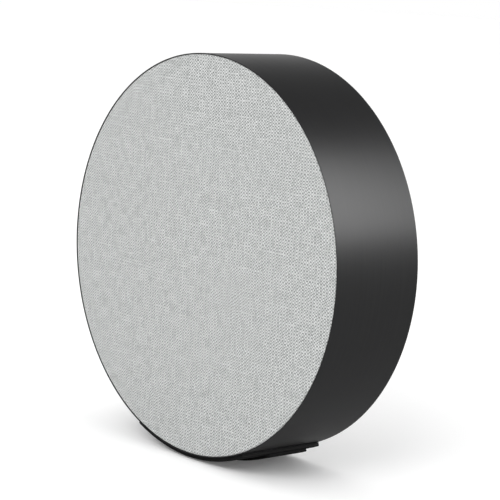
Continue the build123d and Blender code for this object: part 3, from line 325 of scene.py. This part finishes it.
def build_brushing():
    """Fine parallel scratches: the vector is squeezed along the scratches before it comes in."""
    group, given, out = new_group("brushing", [("Vector", "Vector", None)],
                                  [("Height", "Float"), ("Tone", "Float")])
    fine = noise(group, given.outputs["Vector"], 5200, 3.0, 0.7)
    coarse = noise(group, given.outputs["Vector"], 900, 2.0)
    height = maths(group, "MULTIPLY_ADD", coarse, 0.35, maths(group, "MULTIPLY", fine, 0.65))
    group.links.new(height, out.inputs["Height"])
    group.links.new(maths(group, "MULTIPLY_ADD", fine, 0.5, maths(group, "MULTIPLY", coarse, 0.5)),
                    out.inputs["Tone"])
    return group


brushing = build_brushing()


def brushed_finish(name, colour, light_colour, roughness, metallic, squeeze, depth=2e-6):
    """Metal with scratches across whichever axes squeeze leaves large."""
    material, tree, shader = new_material(name, colour, roughness, metallic)
    group = tree.nodes.new("ShaderNodeGroup")
    group.node_tree = brushing
    tree.links.new(stretched(tree, object_place(tree), squeeze), group.inputs["Vector"])
    tree.links.new(blended(tree, group.outputs["Tone"], colour, light_colour),
                   shader.inputs["Base Color"])
    tree.links.new(between(tree, group.outputs["Tone"], roughness - 0.06, roughness + 0.06),
                   shader.inputs["Roughness"])
    raised(tree, shader, group.outputs["Height"], depth)
    return material


ring_finish = brushed_finish("anodised_ring", (0.010, 0.010, 0.0105), (0.019, 0.019, 0.0195),
                             0.36, 0.0, (0.02, 1.0, 0.02))
ring_finish.node_tree.nodes["Principled BSDF"].inputs["Specular IOR Level"].default_value = 0.12

flange_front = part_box("front_baffle")[1].y
flange_back = flange_front + flange_thickness
inner_radius = ring_radius - ring_wall
lip_radius = ring_radius - edge_land
ring_bm = lathe([
    (lip_radius, ring_front), (ring_radius, ring_front), (ring_radius, ring_back),
    (inner_radius, ring_back), (inner_radius, flange_back), (inner_radius - flange_width, flange_back),
    (inner_radius - flange_width, flange_front), (inner_radius, flange_front),
    (inner_radius, ring_front + lip_depth), (lip_radius, ring_front + lip_depth),
], ring_steps)


def on_outer_corner(edge):
    """Whether an edge lies on the ring's outside, clear of its lip."""
    middle = (edge.verts[0].co + edge.verts[1].co) / 2
    return (middle - ring_centre).xz.length > ring_radius - edge_land / 2


round_edges(ring_bm, edge_round, 4, on_outer_corner)
round_edges(ring_bm, inner_round, 2, lambda edge: not on_outer_corner(edge))
even_shading(add_piece(ring_bm, "anodised_ring", "housing", ring_finish, "ring_metal", "body_ring"))


# ---- Foot -------------------------------------------------------------------------------------
# A thin curved strip of hard black plastic under the ring, held by four screws to a zinc-plated steel
# strip inside it. A soft rubber sole, rounded at its corners and ground flat, is glued below.

sole_corner = 0.0025
sole_edge = 0.0005
pad_corner = 0.0008
pad_edge = 0.0005
sole_thickness = 0.00145
glue_gap = 0.00005
foot_slices = 72


def build_grain():
    """Moulded grain: small rounded pits of two sizes, and a slow change of tone."""
    group, given, out = new_group(
        "moulded_grain", [("Vector", "Vector", None), ("Scale", "Float", 900.0)],
        [("Height", "Float"), ("Tone", "Float")])
    cells = group.nodes.new("ShaderNodeTexVoronoi")
    cells.feature = "SMOOTH_F1"
    group.links.new(given.outputs["Vector"], cells.inputs["Vector"])
    group.links.new(given.outputs["Scale"], cells.inputs["Scale"])
    fine = noise(group, given.outputs["Vector"], 2600, 2.0)
    slow = noise(group, given.outputs["Vector"], 35, 3.0)
    group.links.new(maths(group, "MULTIPLY_ADD", fine, 0.4, cells.outputs["Distance"]),
                    out.inputs["Height"])
    group.links.new(maths(group, "MULTIPLY_ADD", fine, 0.45, maths(group, "MULTIPLY", slow, 0.55)),
                    out.inputs["Tone"])
    return group


moulded_grain = build_grain()


def moulded_finish(name, colour, light_colour, roughness, depth=1.2e-5, scale=900, specular=0.4):
    """Moulded plastic or rubber with a fine grain."""
    material, tree, shader = new_material(name, colour, roughness)
    group = tree.nodes.new("ShaderNodeGroup")
    group.node_tree = moulded_grain
    group.inputs["Scale"].default_value = scale
    tree.links.new(object_place(tree), group.inputs["Vector"])
    tree.links.new(blended(tree, group.outputs["Tone"], colour, light_colour),
                   shader.inputs["Base Color"])
    tree.links.new(between(tree, group.outputs["Tone"], roughness - 0.08, roughness + 0.08),
                   shader.inputs["Roughness"])
    shader.inputs["Specular IOR Level"].default_value = specular
    raised(tree, shader, group.outputs["Height"], depth)
    return material


def finish_nodes(material, *names):
    """Gives carried-over CAD nodes their material."""
    for name in names:
        slots = nodes[name].material_slots
        if not slots:
            nodes[name].data.materials.append(material)
        for slot in slots:
            slot.material = material


def bent_strip(inner, outer, front, back, half_angle, corner, edge):
    """A strip with rounded corners and edges, bent round the underside of the ring."""
    bm = bmesh.new()
    bmesh.ops.create_grid(bm, x_segments=1, y_segments=1, size=0.5)
    reach = half_angle * outer
    for vert in bm.verts:
        vert.co = (2 * reach * vert.co.x, (front + back) / 2 + (back - front) * vert.co.y, 0)
    bmesh.ops.bevel(bm, geom=bm.verts[:], offset=corner, segments=6, profile=0.5, affect="VERTICES",
                    material=-1)
    top = bmesh.ops.extrude_face_region(bm, geom=bm.faces[:])["geom"]
    for item in top:
        if isinstance(item, bmesh.types.BMVert):
            item.co.z = outer - inner
    bmesh.ops.recalc_face_normals(bm, faces=bm.faces)
    rim = [e for e in bm.edges if all(v.co.z > (outer - inner) / 2 for v in e.verts)]
    bmesh.ops.bevel(bm, geom=rim, offset=edge, segments=3, profile=0.5, affect="EDGES", material=-1)
    for step in range(1, foot_slices):
        place = (2 * step / foot_slices - 1) * reach
        bmesh.ops.bisect_plane(bm, geom=bm.verts[:] + bm.edges[:] + bm.faces[:], dist=1e-7,
                               plane_co=(place, 0, 0), plane_no=(1, 0, 0))
    for vert in bm.verts:
        angle, radius = vert.co.x / outer, inner + vert.co.z
        vert.co = (radius * sin(angle), vert.co.y, axis_height - radius * cos(angle))
    bmesh.ops.recalc_face_normals(bm, faces=bm.faces)
    return bm


pad_low, pad_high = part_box("foot_pad")
sole_low, sole_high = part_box("foot_sole")
pad_inner = ring_radius + glue_gap
pad_outer = axis_height - pad_low.z
sole_inner = pad_outer + glue_gap
sole_outer = sole_inner + sole_thickness
foot_black = (0.003, 0.003, 0.003)
foot_worn = (0.006, 0.006, 0.006)
pad_finish = moulded_finish("foot_plastic", foot_black, foot_worn, 0.62, specular=0.1)
pad_bm = bent_strip(pad_inner, pad_outer, pad_low.y, pad_high.y, asin(pad_high.x / pad_outer),
                    pad_corner, pad_edge)
even_shading(add_piece(pad_bm, "curved_foot", "housing", pad_finish, "foot_plastic", "foot_pad"))
sole_finish = moulded_finish("sole_rubber", foot_black, foot_worn, 0.75, 2e-5, 600, 0.1)
sole_bm = bent_strip(sole_inner, sole_outer, sole_low.y, sole_high.y, asin(sole_high.x / sole_outer),
                     sole_corner, sole_edge)
bmesh.ops.bisect_plane(sole_bm, geom=sole_bm.verts[:] + sole_bm.edges[:] + sole_bm.faces[:], dist=1e-7,
                       plane_co=(0, 0, sole_low.z), plane_no=(0, 0, 1), clear_inner=True)
bmesh.ops.holes_fill(sole_bm, edges=[e for e in sole_bm.edges if e.is_boundary], sides=0)
even_shading(add_piece(sole_bm, "rubber_sole", "housing", sole_finish, "sole_rubber", "foot_sole"))

zinc_finish = brushed_finish("zinc_plated_steel", (0.42, 0.42, 0.40), (0.62, 0.62, 0.58), 0.36, 0.9,
                             (1.0, 0.06, 1.0), 1e-6)
black_steel = brushed_finish("blackened_steel", (0.018, 0.018, 0.018), (0.045, 0.045, 0.045), 0.42, 0.7,
                             (1.0, 0.25, 1.0), 1e-6)
finish_nodes(zinc_finish, "foot_backing_plate")
finish_nodes(black_steel, "foot_screws")


# ---- Front cloth ------------------------------------------------------------------------------
# A disc of light grey plain-woven cloth, stretched over the cover's frame, turned round its edge and
# glued behind. The warp is paler than the weft, every other weft yarn is a little darker, and each is
# spun from mixed fibres with thick places, so the weave looks slightly heathered.

cloth_low, cloth_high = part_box("front_cloth")
cloth_front, cloth_hem = cloth_low.y, cloth_high.y
lip_clearance = 0.0001
cloth_radius = lip_radius - lip_clearance
cloth_turn = 0.0008
cloth_thickness = 0.0005
hem_width = 0.005
cloth_rings = 30
turn_steps = 6
yarn_pitch_across = 0.00099
yarn_pitch_up = 0.00077
yarn_wander = 0.002
row_banding = 0.45
yarn_slubs = 1.5
pale_yarn = (0.60, 0.61, 0.605)
dark_yarn = (0.20, 0.21, 0.205)
# Painted shade: the colour given to the hollows between and beside the yarns.
painted_gap_shade = (0.12, 0.12, 0.12)
yarn_height = 0.0002
yarn_roundness = 2.4
crossing_lift = 0.42
warp_shade = 0.4
yarn_to_yarn = 0.06
fibre_contrast = 0.94
gap_sharpness = 2.2
gap_softness = 0.2
cloth_sheen = 0.15


def build_weave():
    """A plain weave: each yarn goes over one and under the next, with its own tone and fibres.

    Vector is the place on the cloth in metres, with the warp counted along X and the weft along Z.
    """
    group, given, out = new_group(
        "plain_weave",
        [("Vector", "Vector", None), ("Across", "Float", 0.001), ("Up", "Float", 0.001),
         ("Wander", "Float", 0.00012), ("Banding", "Float", 0.0), ("Slubs", "Float", 0.0)],
        [("Height", "Float"), ("Tone", "Float"), ("Hollow_shade", "Float")])
    vector = given.outputs["Vector"]
    split = group.nodes.new("ShaderNodeSeparateXYZ")
    group.links.new(vector, split.inputs["Vector"])
    halves = {}
    for label, axis, pitch, seed in (("warp", "X", "Across", 130), ("weft", "Z", "Up", 170)):
        drift = maths(group, "SUBTRACT", noise(group, vector, seed, 3.0), 0.5)
        place = maths(group, "MULTIPLY_ADD", drift, given.outputs["Wander"], split.outputs[axis])
        count = maths(group, "DIVIDE", place, given.outputs[pitch])
        number = maths(group, "FLOOR", count)
        offset = maths(group, "SUBTRACT", maths(group, "SUBTRACT", count, number), 0.5)
        halves[label] = (number, offset)
    (warp_number, warp_offset), (weft_number, weft_offset) = halves["warp"], halves["weft"]
    parity = maths(group, "PINGPONG", maths(group, "ADD", warp_number, weft_number), 1.0)
    over = maths(group, "MULTIPLY_ADD", parity, 2.0, -1.0)

    def yarn(across, along, sign):
        """A round yarn's height: full at its middle, raised where it passes over."""
        round_part = maths(group, "SUBTRACT", 1.0, maths(group, "POWER", maths(
            group, "ABSOLUTE", maths(group, "MULTIPLY", across, 2.0)), yarn_roundness))
        wave = maths(group, "COSINE", maths(group, "MULTIPLY", along, pi))
        lift = maths(group, "MULTIPLY_ADD", maths(group, "MULTIPLY", wave, sign), crossing_lift,
                     1 - crossing_lift)
        return maths(group, "MULTIPLY", round_part, lift)

    warp = yarn(warp_offset, weft_offset, over)
    weft = yarn(weft_offset, warp_offset, maths(group, "MULTIPLY", over, -1.0))
    height = maths(group, "MAXIMUM", warp, weft)
    on_top = maths(group, "GREATER_THAN", warp, weft)
    every_other = maths(group, "PINGPONG", weft_number, 1.0)
    banded = maths(group, "MULTIPLY_ADD", maths(group, "SUBTRACT", every_other, 0.5),
                   given.outputs["Banding"], -warp_shade)
    tones = []
    for number, seed, squeeze, base in ((warp_number, 3.1, (1.0, 1.0, 0.3), warp_shade),
                                        (weft_number, 7.7, (0.3, 1.0, 1.0), banded)):
        white = group.nodes.new("ShaderNodeTexWhiteNoise")
        white.noise_dimensions = "1D"
        group.links.new(maths(group, "ADD", number, seed), white.inputs["W"])
        along_yarn = stretched(group, vector, squeeze)
        fibres = noise(group, along_yarn, 1300, 3.0, 0.65)
        slubs = maths(group, "SUBTRACT", noise(group, along_yarn, 520, 2.0), 0.5)
        shade = maths(group, "MULTIPLY_ADD", white.outputs["Value"], yarn_to_yarn, base)
        shade = maths(group, "MULTIPLY_ADD", slubs, given.outputs["Slubs"], shade)
        tones.append(maths(group, "MULTIPLY_ADD", fibres, fibre_contrast, shade))
    chosen = group.nodes.new("ShaderNodeMix")
    group.links.new(on_top, chosen.inputs[0])
    group.links.new(tones[1], chosen.inputs[2])
    group.links.new(tones[0], chosen.inputs[3])
    group.links.new(height, out.inputs["Height"])
    group.links.new(chosen.outputs[0], out.inputs["Tone"])
    # Where the weave is low, between and down the sides of the yarns, it gets painted shade.
    hollow_shade = maths(group, "SUBTRACT", 1.0, maths(group, "SMOOTH_MIN", 1.0, maths(
        group, "MULTIPLY", height, gap_sharpness), gap_softness))
    group.links.new(hollow_shade, out.inputs["Hollow_shade"])
    return group


plain_weave = build_weave()


def sheet_place(tree):
    """Each point's place on the cloth as it lies flat before it is turned, across as X and up as Z."""
    split = tree.nodes.new("ShaderNodeSeparateXYZ")
    joined = tree.nodes.new("ShaderNodeCombineXYZ")
    flat = tree.nodes.new("ShaderNodeUVMap")
    flat.uv_map = "flat_sheet"
    tree.links.new(flat.outputs["UV"], split.inputs["Vector"])
    tree.links.new(split.outputs["X"], joined.inputs["X"])
    tree.links.new(split.outputs["Y"], joined.inputs["Z"])
    return joined.outputs["Vector"]


def woven_finish(name, pale, dark, hollow_shade, across, up, depth, roughness, wander=0.00012, sheen=0.0,
                 place=object_place, banding=0.0, slubs=0.0):
    """Cloth from the weave group's tones and height, with shade painted into the hollows between yarns.

    Wander bends the yarns, banding tells every other row apart, and slubs are thick, pale places.
    """
    material, tree, shader = new_material(name, pale, roughness)
    group = tree.nodes.new("ShaderNodeGroup")
    group.node_tree = plain_weave
    group.inputs["Across"].default_value = across
    group.inputs["Up"].default_value = up
    group.inputs["Wander"].default_value = wander
    group.inputs["Banding"].default_value = banding
    group.inputs["Slubs"].default_value = slubs
    tree.links.new(place(tree), group.inputs["Vector"])
    yarns = blended(tree, group.outputs["Tone"], dark, pale)
    tree.links.new(blended(tree, group.outputs["Hollow_shade"], yarns, hollow_shade), shader.inputs["Base Color"])
    tree.links.new(between(tree, group.outputs["Tone"], roughness, roughness + 0.1),
                   shader.inputs["Roughness"])
    shader.inputs["Specular IOR Level"].default_value = 0.25
    shader.inputs["Sheen Weight"].default_value = sheen
    shader.inputs["Sheen Roughness"].default_value = 0.5
    raised(tree, shader, group.outputs["Height"], depth)
    return material


cloth_finish = woven_finish("grey_cloth", pale_yarn, dark_yarn, painted_gap_shade, yarn_pitch_across,
                            yarn_pitch_up, yarn_height, 0.85, yarn_wander, cloth_sheen, sheet_place,
                            row_banding, yarn_slubs)


def lay_flat(bm, outline):
    """A UV map, in metres, of where each point lies on the flat cloth before its edge is turned."""
    lengths = [0.0]
    for (radius, depth), (next_radius, next_depth) in zip(outline, outline[1:]):
        lengths.append(lengths[-1] + hypot(next_radius - radius, next_depth - depth))
    places = {}
    for vert in bm.verts:
        across, up = vert.co.x - ring_centre.x, vert.co.z - ring_centre.z
        radius = hypot(across, up)
        gaps = [hypot(radius - point[0], vert.co.y - point[1]) for point in outline]
        length = lengths[gaps.index(min(gaps))]
        share = length / radius if radius else 0.0
        places[vert] = (across * share, up * share)
    layer = bm.loops.layers.uv.new("flat_sheet")
    for face in bm.faces:
        for loop in face.loops:
            loop[layer].uv = places[loop.vert]


cloth_outline = [((cloth_radius - cloth_turn) * ring / cloth_rings, cloth_front)
                 for ring in range(cloth_rings + 1)]
cloth_outline += [(cloth_radius - cloth_turn + cloth_turn * sin(pi / 2 * step / turn_steps),
                   cloth_front + cloth_turn - cloth_turn * cos(pi / 2 * step / turn_steps))
                  for step in range(1, turn_steps + 1)]
cloth_outline += [(cloth_radius, cloth_hem - cloth_turn),
                  (cloth_radius - cloth_turn / 3, cloth_hem - cloth_turn / 3),
                  (cloth_radius - cloth_turn, cloth_hem), (cloth_radius - hem_width, cloth_hem)]
cloth_bm = lathe(cloth_outline, ring_steps, closed=False)
lay_flat(cloth_bm, cloth_outline)
cloth = add_piece(cloth_bm, "woven_front", "front_cover", cloth_finish, "front_cloth", "front_cloth")
thicken = cloth.modifiers.new("thickness", "SOLIDIFY")
thicken.thickness = cloth_thickness
thicken.offset = -1.0


# ---- Cover frame and its pegs -----------------------------------------------------------------
# The cloth's frame is one light moulding: a rim, a web, spokes and two hoops. Six pegs behind it
# push into rubber grommets in the baffle, so the whole front pulls straight off.

cover_plastic = moulded_finish("cover_plastic", (0.10, 0.10, 0.103), (0.145, 0.145, 0.15), 0.55)
rubber_finish = moulded_finish("soft_rubber", (0.018, 0.018, 0.018), (0.032, 0.032, 0.032), 0.7, 2e-5,
                               500, 0.25)
finish_nodes(cover_plastic, "cover_frame", "cover_pegs")
finish_nodes(rubber_finish, "cover_grommets")


# ---- Baffle and loudspeaker chamber -----------------------------------------------------------
# Black mouldings with a fine grain: the disc that carries everything in front, and the round
# chamber behind the loudspeaker with its foam seal. Black and plated screws hold them.

housing_plastic = moulded_finish("housing_plastic", (0.016, 0.016, 0.017), (0.03, 0.03, 0.032), 0.5)
foam_finish = moulded_finish("gasket_foam", (0.03, 0.03, 0.03), (0.07, 0.07, 0.07), 0.92, 1.2e-4, 1400, 0.1)
finish_nodes(housing_plastic, "front_baffle", "speaker_chamber")
finish_nodes(foam_finish, "chamber_seal", "driver_gasket")
finish_nodes(black_steel, "baffle_screws")
finish_nodes(zinc_finish, "chamber_screws")
finish_nodes(rubber_finish, "lead_grommet")


# ---- Loudspeaker frame and magnet -------------------------------------------------------------
# A pressed steel basket, painted black, with plated plates either side of a ground ferrite ring.
# The lead terminals are a small moulded block with two tags.

ferrite_finish = brushed_finish("ground_ferrite", (0.035, 0.036, 0.04), (0.075, 0.077, 0.082), 0.5, 0.3,
                                (0.3, 0.3, 1.0), 4e-6)
chip_plastic = moulded_finish("chip_plastic", (0.012, 0.012, 0.013), (0.026, 0.026, 0.028), 0.6, 6e-6, 2600)
finish_nodes(black_steel, "driver_basket", "driver_screws")
finish_nodes(zinc_finish, "driver_top_plate", "driver_yoke")
finish_nodes(ferrite_finish, "driver_magnet")
finish_nodes(chip_plastic, "driver_terminals")


# ---- Cone, coil and their suspension ----------------------------------------------------------
# A pressed cone and cap on an amber film former wound with enamelled copper. A thin rubber roll and
# a stiffened cloth spider join it to the basket, so both stretch as the cone travels.

surround_low, surround_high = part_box("driver_surround")
spider_low, spider_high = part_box("driver_spider")
driver_centre = Vector((0, 0, (surround_low.z + surround_high.z) / 2))
suspension_sectors = 12
sector_steps = 8
roll_inner, roll_outer = 0.0327, 0.0385
surround_inner = 0.03125
roll_height = 0.002
rubber_thickness = 0.0005
roll_points = 12
spider_inner = 0.01255
spider_glue = 0.0034
spider_waves = 5
wave_height = 0.0009
wave_points = 8
cloth_wall = 0.0005
wire_pitch = 0.00022


def build_winding():
    """Close turns of round wire along Y, as height and tone: painted highlight on crests, painted shade
    between.
    """
    group, given, out = new_group(
        "wire_turns", [("Vector", "Vector", None), ("Pitch", "Float", wire_pitch)],
        [("Height", "Float"), ("Tone", "Float")])
    split = group.nodes.new("ShaderNodeSeparateXYZ")
    group.links.new(given.outputs["Vector"], split.inputs["Vector"])
    turns = maths(group, "DIVIDE", split.outputs["Y"], given.outputs["Pitch"])
    round_part = maths(group, "ABSOLUTE", maths(group, "SINE", maths(group, "MULTIPLY", turns, pi)))
    group.links.new(round_part, out.inputs["Height"])
    # Half the tone follows the wire's height: a painted highlight on each crest and painted shade between
    # turns.
    group.links.new(maths(group, "MULTIPLY_ADD", noise(group, given.outputs["Vector"], 400, 2.0), 0.5,
                          maths(group, "MULTIPLY", round_part, 0.5)), out.inputs["Tone"])
    return group


wire_turns = build_winding()


def grouped_finish(name, group_tree, values, dark, pale, roughness, depth, metallic=0.0):
    """A finish from a group's Tone and Height, with the group's own values set by name."""
    material, tree, shader = new_material(name, pale, roughness, metallic)
    group = tree.nodes.new("ShaderNodeGroup")
    group.node_tree = group_tree
    for label, value in values.items():
        group.inputs[label].default_value = value
    tree.links.new(object_place(tree), group.inputs["Vector"])
    tree.links.new(blended(tree, group.outputs["Tone"], dark, pale), shader.inputs["Base Color"])
    raised(tree, shader, group.outputs["Height"], depth)
    return material


cone_finish = moulded_finish("cone_poly", (0.014, 0.014, 0.016), (0.03, 0.03, 0.033), 0.38, 1.5e-5,
                             420, 0.5)
film_finish = grouped_finish("amber_film", moulded_grain, {"Scale": 120.0}, (0.42, 0.17, 0.03),
                             (0.58, 0.27, 0.07), 0.3, 2e-6)
# The pale copper is painted on each turn's crest as a highlight, and the dark between turns as shade.
copper_finish = grouped_finish("enamelled_copper", wire_turns, {"Pitch": wire_pitch},
                               (0.30, 0.09, 0.03), (0.66, 0.26, 0.10), 0.3, 8e-5, 0.85)
# Its third colour is painted shade in the hollows of the weave.
spider_finish = woven_finish("stiffened_cloth", (0.62, 0.42, 0.16), (0.42, 0.26, 0.08),
                             (0.16, 0.09, 0.03), 0.0007, 0.0007, 0.00012, 0.8)
finish_nodes(cone_finish, "driver_cone", "dust_cap")
finish_nodes(film_finish, "coil_former")
finish_nodes(copper_finish, "coil_winding")


def doubled(face_line, thickness):
    """A closed outline: a (radius, depth) line and the same line moved back by a wall's thickness."""
    return face_line + [(radius, depth + thickness) for radius, depth in reversed(face_line)]


def add_suspension(name, line, thickness, material, slot, node):
    """One wedge for each sector, spun from the line and a copy moved back by its thickness.

    Its outer edge is glued to the basket over that width.
    """
    arc = 2 * pi / suspension_sectors
    for number in range(suspension_sectors):
        middle = number * arc
        wedge = lathe(doubled(line, thickness), sector_steps, centre=driver_centre, start=middle - arc / 2,
                      arc=arc)
        piece = add_piece(wedge, f"{name}_{number + 1}", None, material, slot, node)
        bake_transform(piece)


surround_outer = (surround_high.x - surround_low.x) / 2
rim_depth = surround_high.y - rubber_thickness
roll = [((roll_inner + roll_outer) / 2 - (roll_outer - roll_inner) / 2 * cos(pi * step / roll_points),
         rim_depth - roll_height * sin(pi * step / roll_points)) for step in range(roll_points + 1)]
surround_line = [(surround_inner, rim_depth), *roll, (surround_outer, rim_depth)]
add_suspension("rubber_surround", surround_line, rubber_thickness, rubber_finish,
               "soft_rubber", "driver_surround")

spider_outer = (spider_high.x - spider_low.x) / 2
spider_face = (spider_low.y + spider_high.y - cloth_wall) / 2
wave_start, wave_end = spider_inner + spider_glue / 2, spider_outer - spider_glue
wave_count = spider_waves * wave_points
waves = [(wave_start + (wave_end - wave_start) * step / wave_count,
          spider_face - wave_height / 2 * sin(2 * pi * step / wave_points))
         for step in range(wave_count + 1)]
spider_line = [(spider_inner, spider_face), *waves, (spider_outer, spider_face)]
add_suspension("cloth_spider", spider_line, cloth_wall, spider_finish, "spider_cloth",
               "driver_spider")


# ---- Rear cover -------------------------------------------------------------------------------
# A flat black moulding with vent slots and a sunk bay for the sockets, held by six screws against a
# rubber seal. Fine black mesh is stuck behind the vents to keep dust out.

# Its third colour is painted shade in the hollows of the mesh.
mesh_finish = woven_finish("black_mesh", (0.03, 0.03, 0.03), (0.015, 0.015, 0.015),
                           (0.002, 0.002, 0.002), 0.0006, 0.0006, 0.0001, 0.7)
rear_finish = moulded_finish("rear_cover_plastic", (0.014, 0.014, 0.015), (0.024, 0.024, 0.0255), 0.5,
                             2.2e-5, 800, 0.35)
rear_edge = 0.0003


def eased_copy(node, size):
    """A merged copy of a CAD node with its sharp edges eased, as a mould leaves them."""
    bm = bmesh.new()
    bm.from_mesh(nodes[node].data)
    bmesh.ops.remove_doubles(bm, verts=bm.verts, dist=2e-6)
    bmesh.ops.dissolve_limit(bm, angle_limit=radians(0.5), verts=bm.verts, edges=bm.edges)
    round_edges(bm, size, 2)
    return bm


even_shading(add_piece(eased_copy("rear_cover", rear_edge), "rear_panel", "housing", rear_finish,
                       "housing_plastic", "rear_cover"))
finish_nodes(rubber_finish, "rear_seal")
finish_nodes(black_steel, "rear_screws")
finish_nodes(mesh_finish, "vent_mesh")


# ---- Circuit boards ---------------------------------------------------------------------------
# Dark green boards under solder mask, where the copper tracks show as slightly raised paths. The
# main board stands behind the baffle; small ones carry the buttons and the microphones.

def build_tracks():
    """Board tracks: square cells whose borders are the tracks, with small plated holes."""
    group, given, out = new_group("board_tracks", [("Vector", "Vector", None), ("Scale", "Float", 320.0)],
                                  [("Track", "Float"), ("Hole", "Float")])
    flat = stretched(group, given.outputs["Vector"], (1.0, 0.0, 1.0))
    for label, shape, scale, place, half_width in (("Track", "CHEBYCHEV", 1.0, 0.42, 0.12),
                                                   ("Hole", "EUCLIDEAN", 0.6, 0.0, 0.10)):
        cells = group.nodes.new("ShaderNodeTexVoronoi")
        cells.distance = shape
        group.links.new(flat, cells.inputs["Vector"])
        group.links.new(maths(group, "MULTIPLY", given.outputs["Scale"], scale), cells.inputs["Scale"])
        away = maths(group, "ABSOLUTE", maths(group, "SUBTRACT", cells.outputs["Distance"], place))
        group.links.new(maths(group, "LESS_THAN", away, half_width), out.inputs[label])
    return group


board_tracks = build_tracks()


def board_finish(name, mask_colour, track_colour, hole_colour):
    """Solder mask over tracks, with tinned holes."""
    material, tree, shader = new_material(name, mask_colour, 0.35)
    group = tree.nodes.new("ShaderNodeGroup")
    group.node_tree = board_tracks
    tree.links.new(object_place(tree), group.inputs["Vector"])
    tracks = blended(tree, group.outputs["Track"], mask_colour, track_colour)
    tree.links.new(blended(tree, group.outputs["Hole"], tracks, hole_colour), shader.inputs["Base Color"])
    tree.links.new(group.outputs["Hole"], shader.inputs["Metallic"])
    raised(tree, shader, group.outputs["Track"], 3e-5)
    return material


green_board = board_finish("circuit_board", (0.006, 0.03, 0.02), (0.012, 0.065, 0.04), (0.6, 0.6, 0.56))
finish_nodes(green_board, "main_board", "button_board", "mic_board")
finish_nodes(zinc_finish, "board_screws")
finish_nodes(chip_plastic, "processor", "memory_chips", "board_header")


# ---- Sockets and shielding --------------------------------------------------------------------
# Tinned sheet shells with a fine rolled grain: the three sockets in the rear bay, the shields over
# the radio parts and the microphones.

tinned_finish = brushed_finish("tinned_shell", (0.45, 0.45, 0.45), (0.66, 0.66, 0.65), 0.3, 0.95,
                               (1.0, 1.0, 0.05), 8e-7)
finish_nodes(tinned_finish, "network_socket", "usb_socket", "power_socket", "shield_cans",
             "radio_modules", "microphones")


# ---- Heat sink and power parts ----------------------------------------------------------------
# A black anodised, extruded heat sink on a soft grey pad over the processor, and three capacitors in
# plain dark sleeves.

sink_finish = brushed_finish("sink_aluminium", (0.02, 0.02, 0.021), (0.05, 0.05, 0.052), 0.42, 0.5,
                             (1.0, 1.0, 0.05), 2e-6)
pad_grey = moulded_finish("thermal_rubber", (0.24, 0.26, 0.30), (0.34, 0.36, 0.40), 0.8, 2e-5, 700, 0.3)
sleeve_finish = brushed_finish("capacitor_can", (0.10, 0.10, 0.11), (0.2, 0.2, 0.22), 0.35, 0.6,
                               (1.0, 0.2, 1.0), 1e-6)
finish_nodes(sink_finish, "heat_sink")
finish_nodes(pad_grey, "thermal_pad")
finish_nodes(sleeve_finish, "power_capacitors")


# ---- Rear controls ----------------------------------------------------------------------------
# A round pairing button with a shallow dish and a ribbed mute slider, both satin plastic a shade
# lighter than the cover, over small switches on their own board.

button_finish = moulded_finish("button_plastic", (0.035, 0.035, 0.037), (0.055, 0.055, 0.058), 0.42, 8e-6,
                               1500, 0.5)
finish_nodes(button_finish, "pairing_plunger")
finish_nodes(chip_plastic, "pairing_switch", "mute_switch")
control_edge = 0.00015
even_shading(add_piece(eased_copy("pairing_button", control_edge), "dished_button", "pairing_button_body",
                       button_finish, "button_plastic", "pairing_button"))
even_shading(add_piece(eased_copy("mute_slider", control_edge), "ribbed_slider", "mute_slider_body",
                       button_finish, "button_plastic", "mute_slider"))


# ---- Lights behind the cloth ------------------------------------------------------------------
# A frosted strip spreads five small lights, which are off here. A lead of amber film runs from their
# board down to the main board, and the antennas are made on the same film.

frosted, frosted_tree, frosted_shader = new_material("light_diffuser", (0.8, 0.8, 0.78), 0.45)
haze = noise(frosted_tree, object_place(frosted_tree), 500, 2.0)
frosted_tree.links.new(blended(frosted_tree, haze, (0.72, 0.72, 0.70), (0.86, 0.86, 0.84)),
                       frosted_shader.inputs["Base Color"])
frosted_shader.inputs["Subsurface Weight"].default_value = 0.2
frosted_shader.inputs["Subsurface Radius"].default_value = (0.001, 0.001, 0.001)
raised(frosted_tree, frosted_shader, haze, 1e-5)
flex_finish = grouped_finish("flex_film", moulded_grain, {"Scale": 300.0},
                             (0.30, 0.13, 0.03), (0.46, 0.22, 0.06), 0.35, 4e-6)
finish_nodes(frosted, "status_lights", "light_guide")
finish_nodes(flex_finish, "mic_flex", "antennas")


# ---- Leads ------------------------------------------------------------------------------------
# Soft insulated leads: a red and a black one to the loudspeaker, and thin dark coaxial ones from the
# antennas to the main board.

lead_finish, lead_tree, lead_shader = new_material("insulated_leads", (0.02, 0.02, 0.02), 0.45)
lead_split = lead_tree.nodes.new("ShaderNodeSeparateXYZ")
lead_tree.links.new(object_place(lead_tree), lead_split.inputs["Vector"])
lead_side = maths(lead_tree, "GREATER_THAN", lead_split.outputs["X"], 0.0)
lead_haze = noise(lead_tree, object_place(lead_tree), 900, 2.0)
red_insulation = blended(lead_tree, lead_haze, (0.30, 0.012, 0.012), (0.42, 0.03, 0.025))
black_insulation = blended(lead_tree, lead_haze, (0.012, 0.012, 0.012), (0.03, 0.03, 0.03))
lead_tree.links.new(blended(lead_tree, lead_side, black_insulation, red_insulation),
                    lead_shader.inputs["Base Color"])
raised(lead_tree, lead_shader, lead_haze, 6e-6)
coax_finish = moulded_finish("coax_jacket", (0.012, 0.012, 0.012), (0.028, 0.028, 0.028), 0.4, 4e-6, 1800)
finish_nodes(lead_finish, "speaker_leads")
finish_nodes(coax_finish, "antenna_leads")
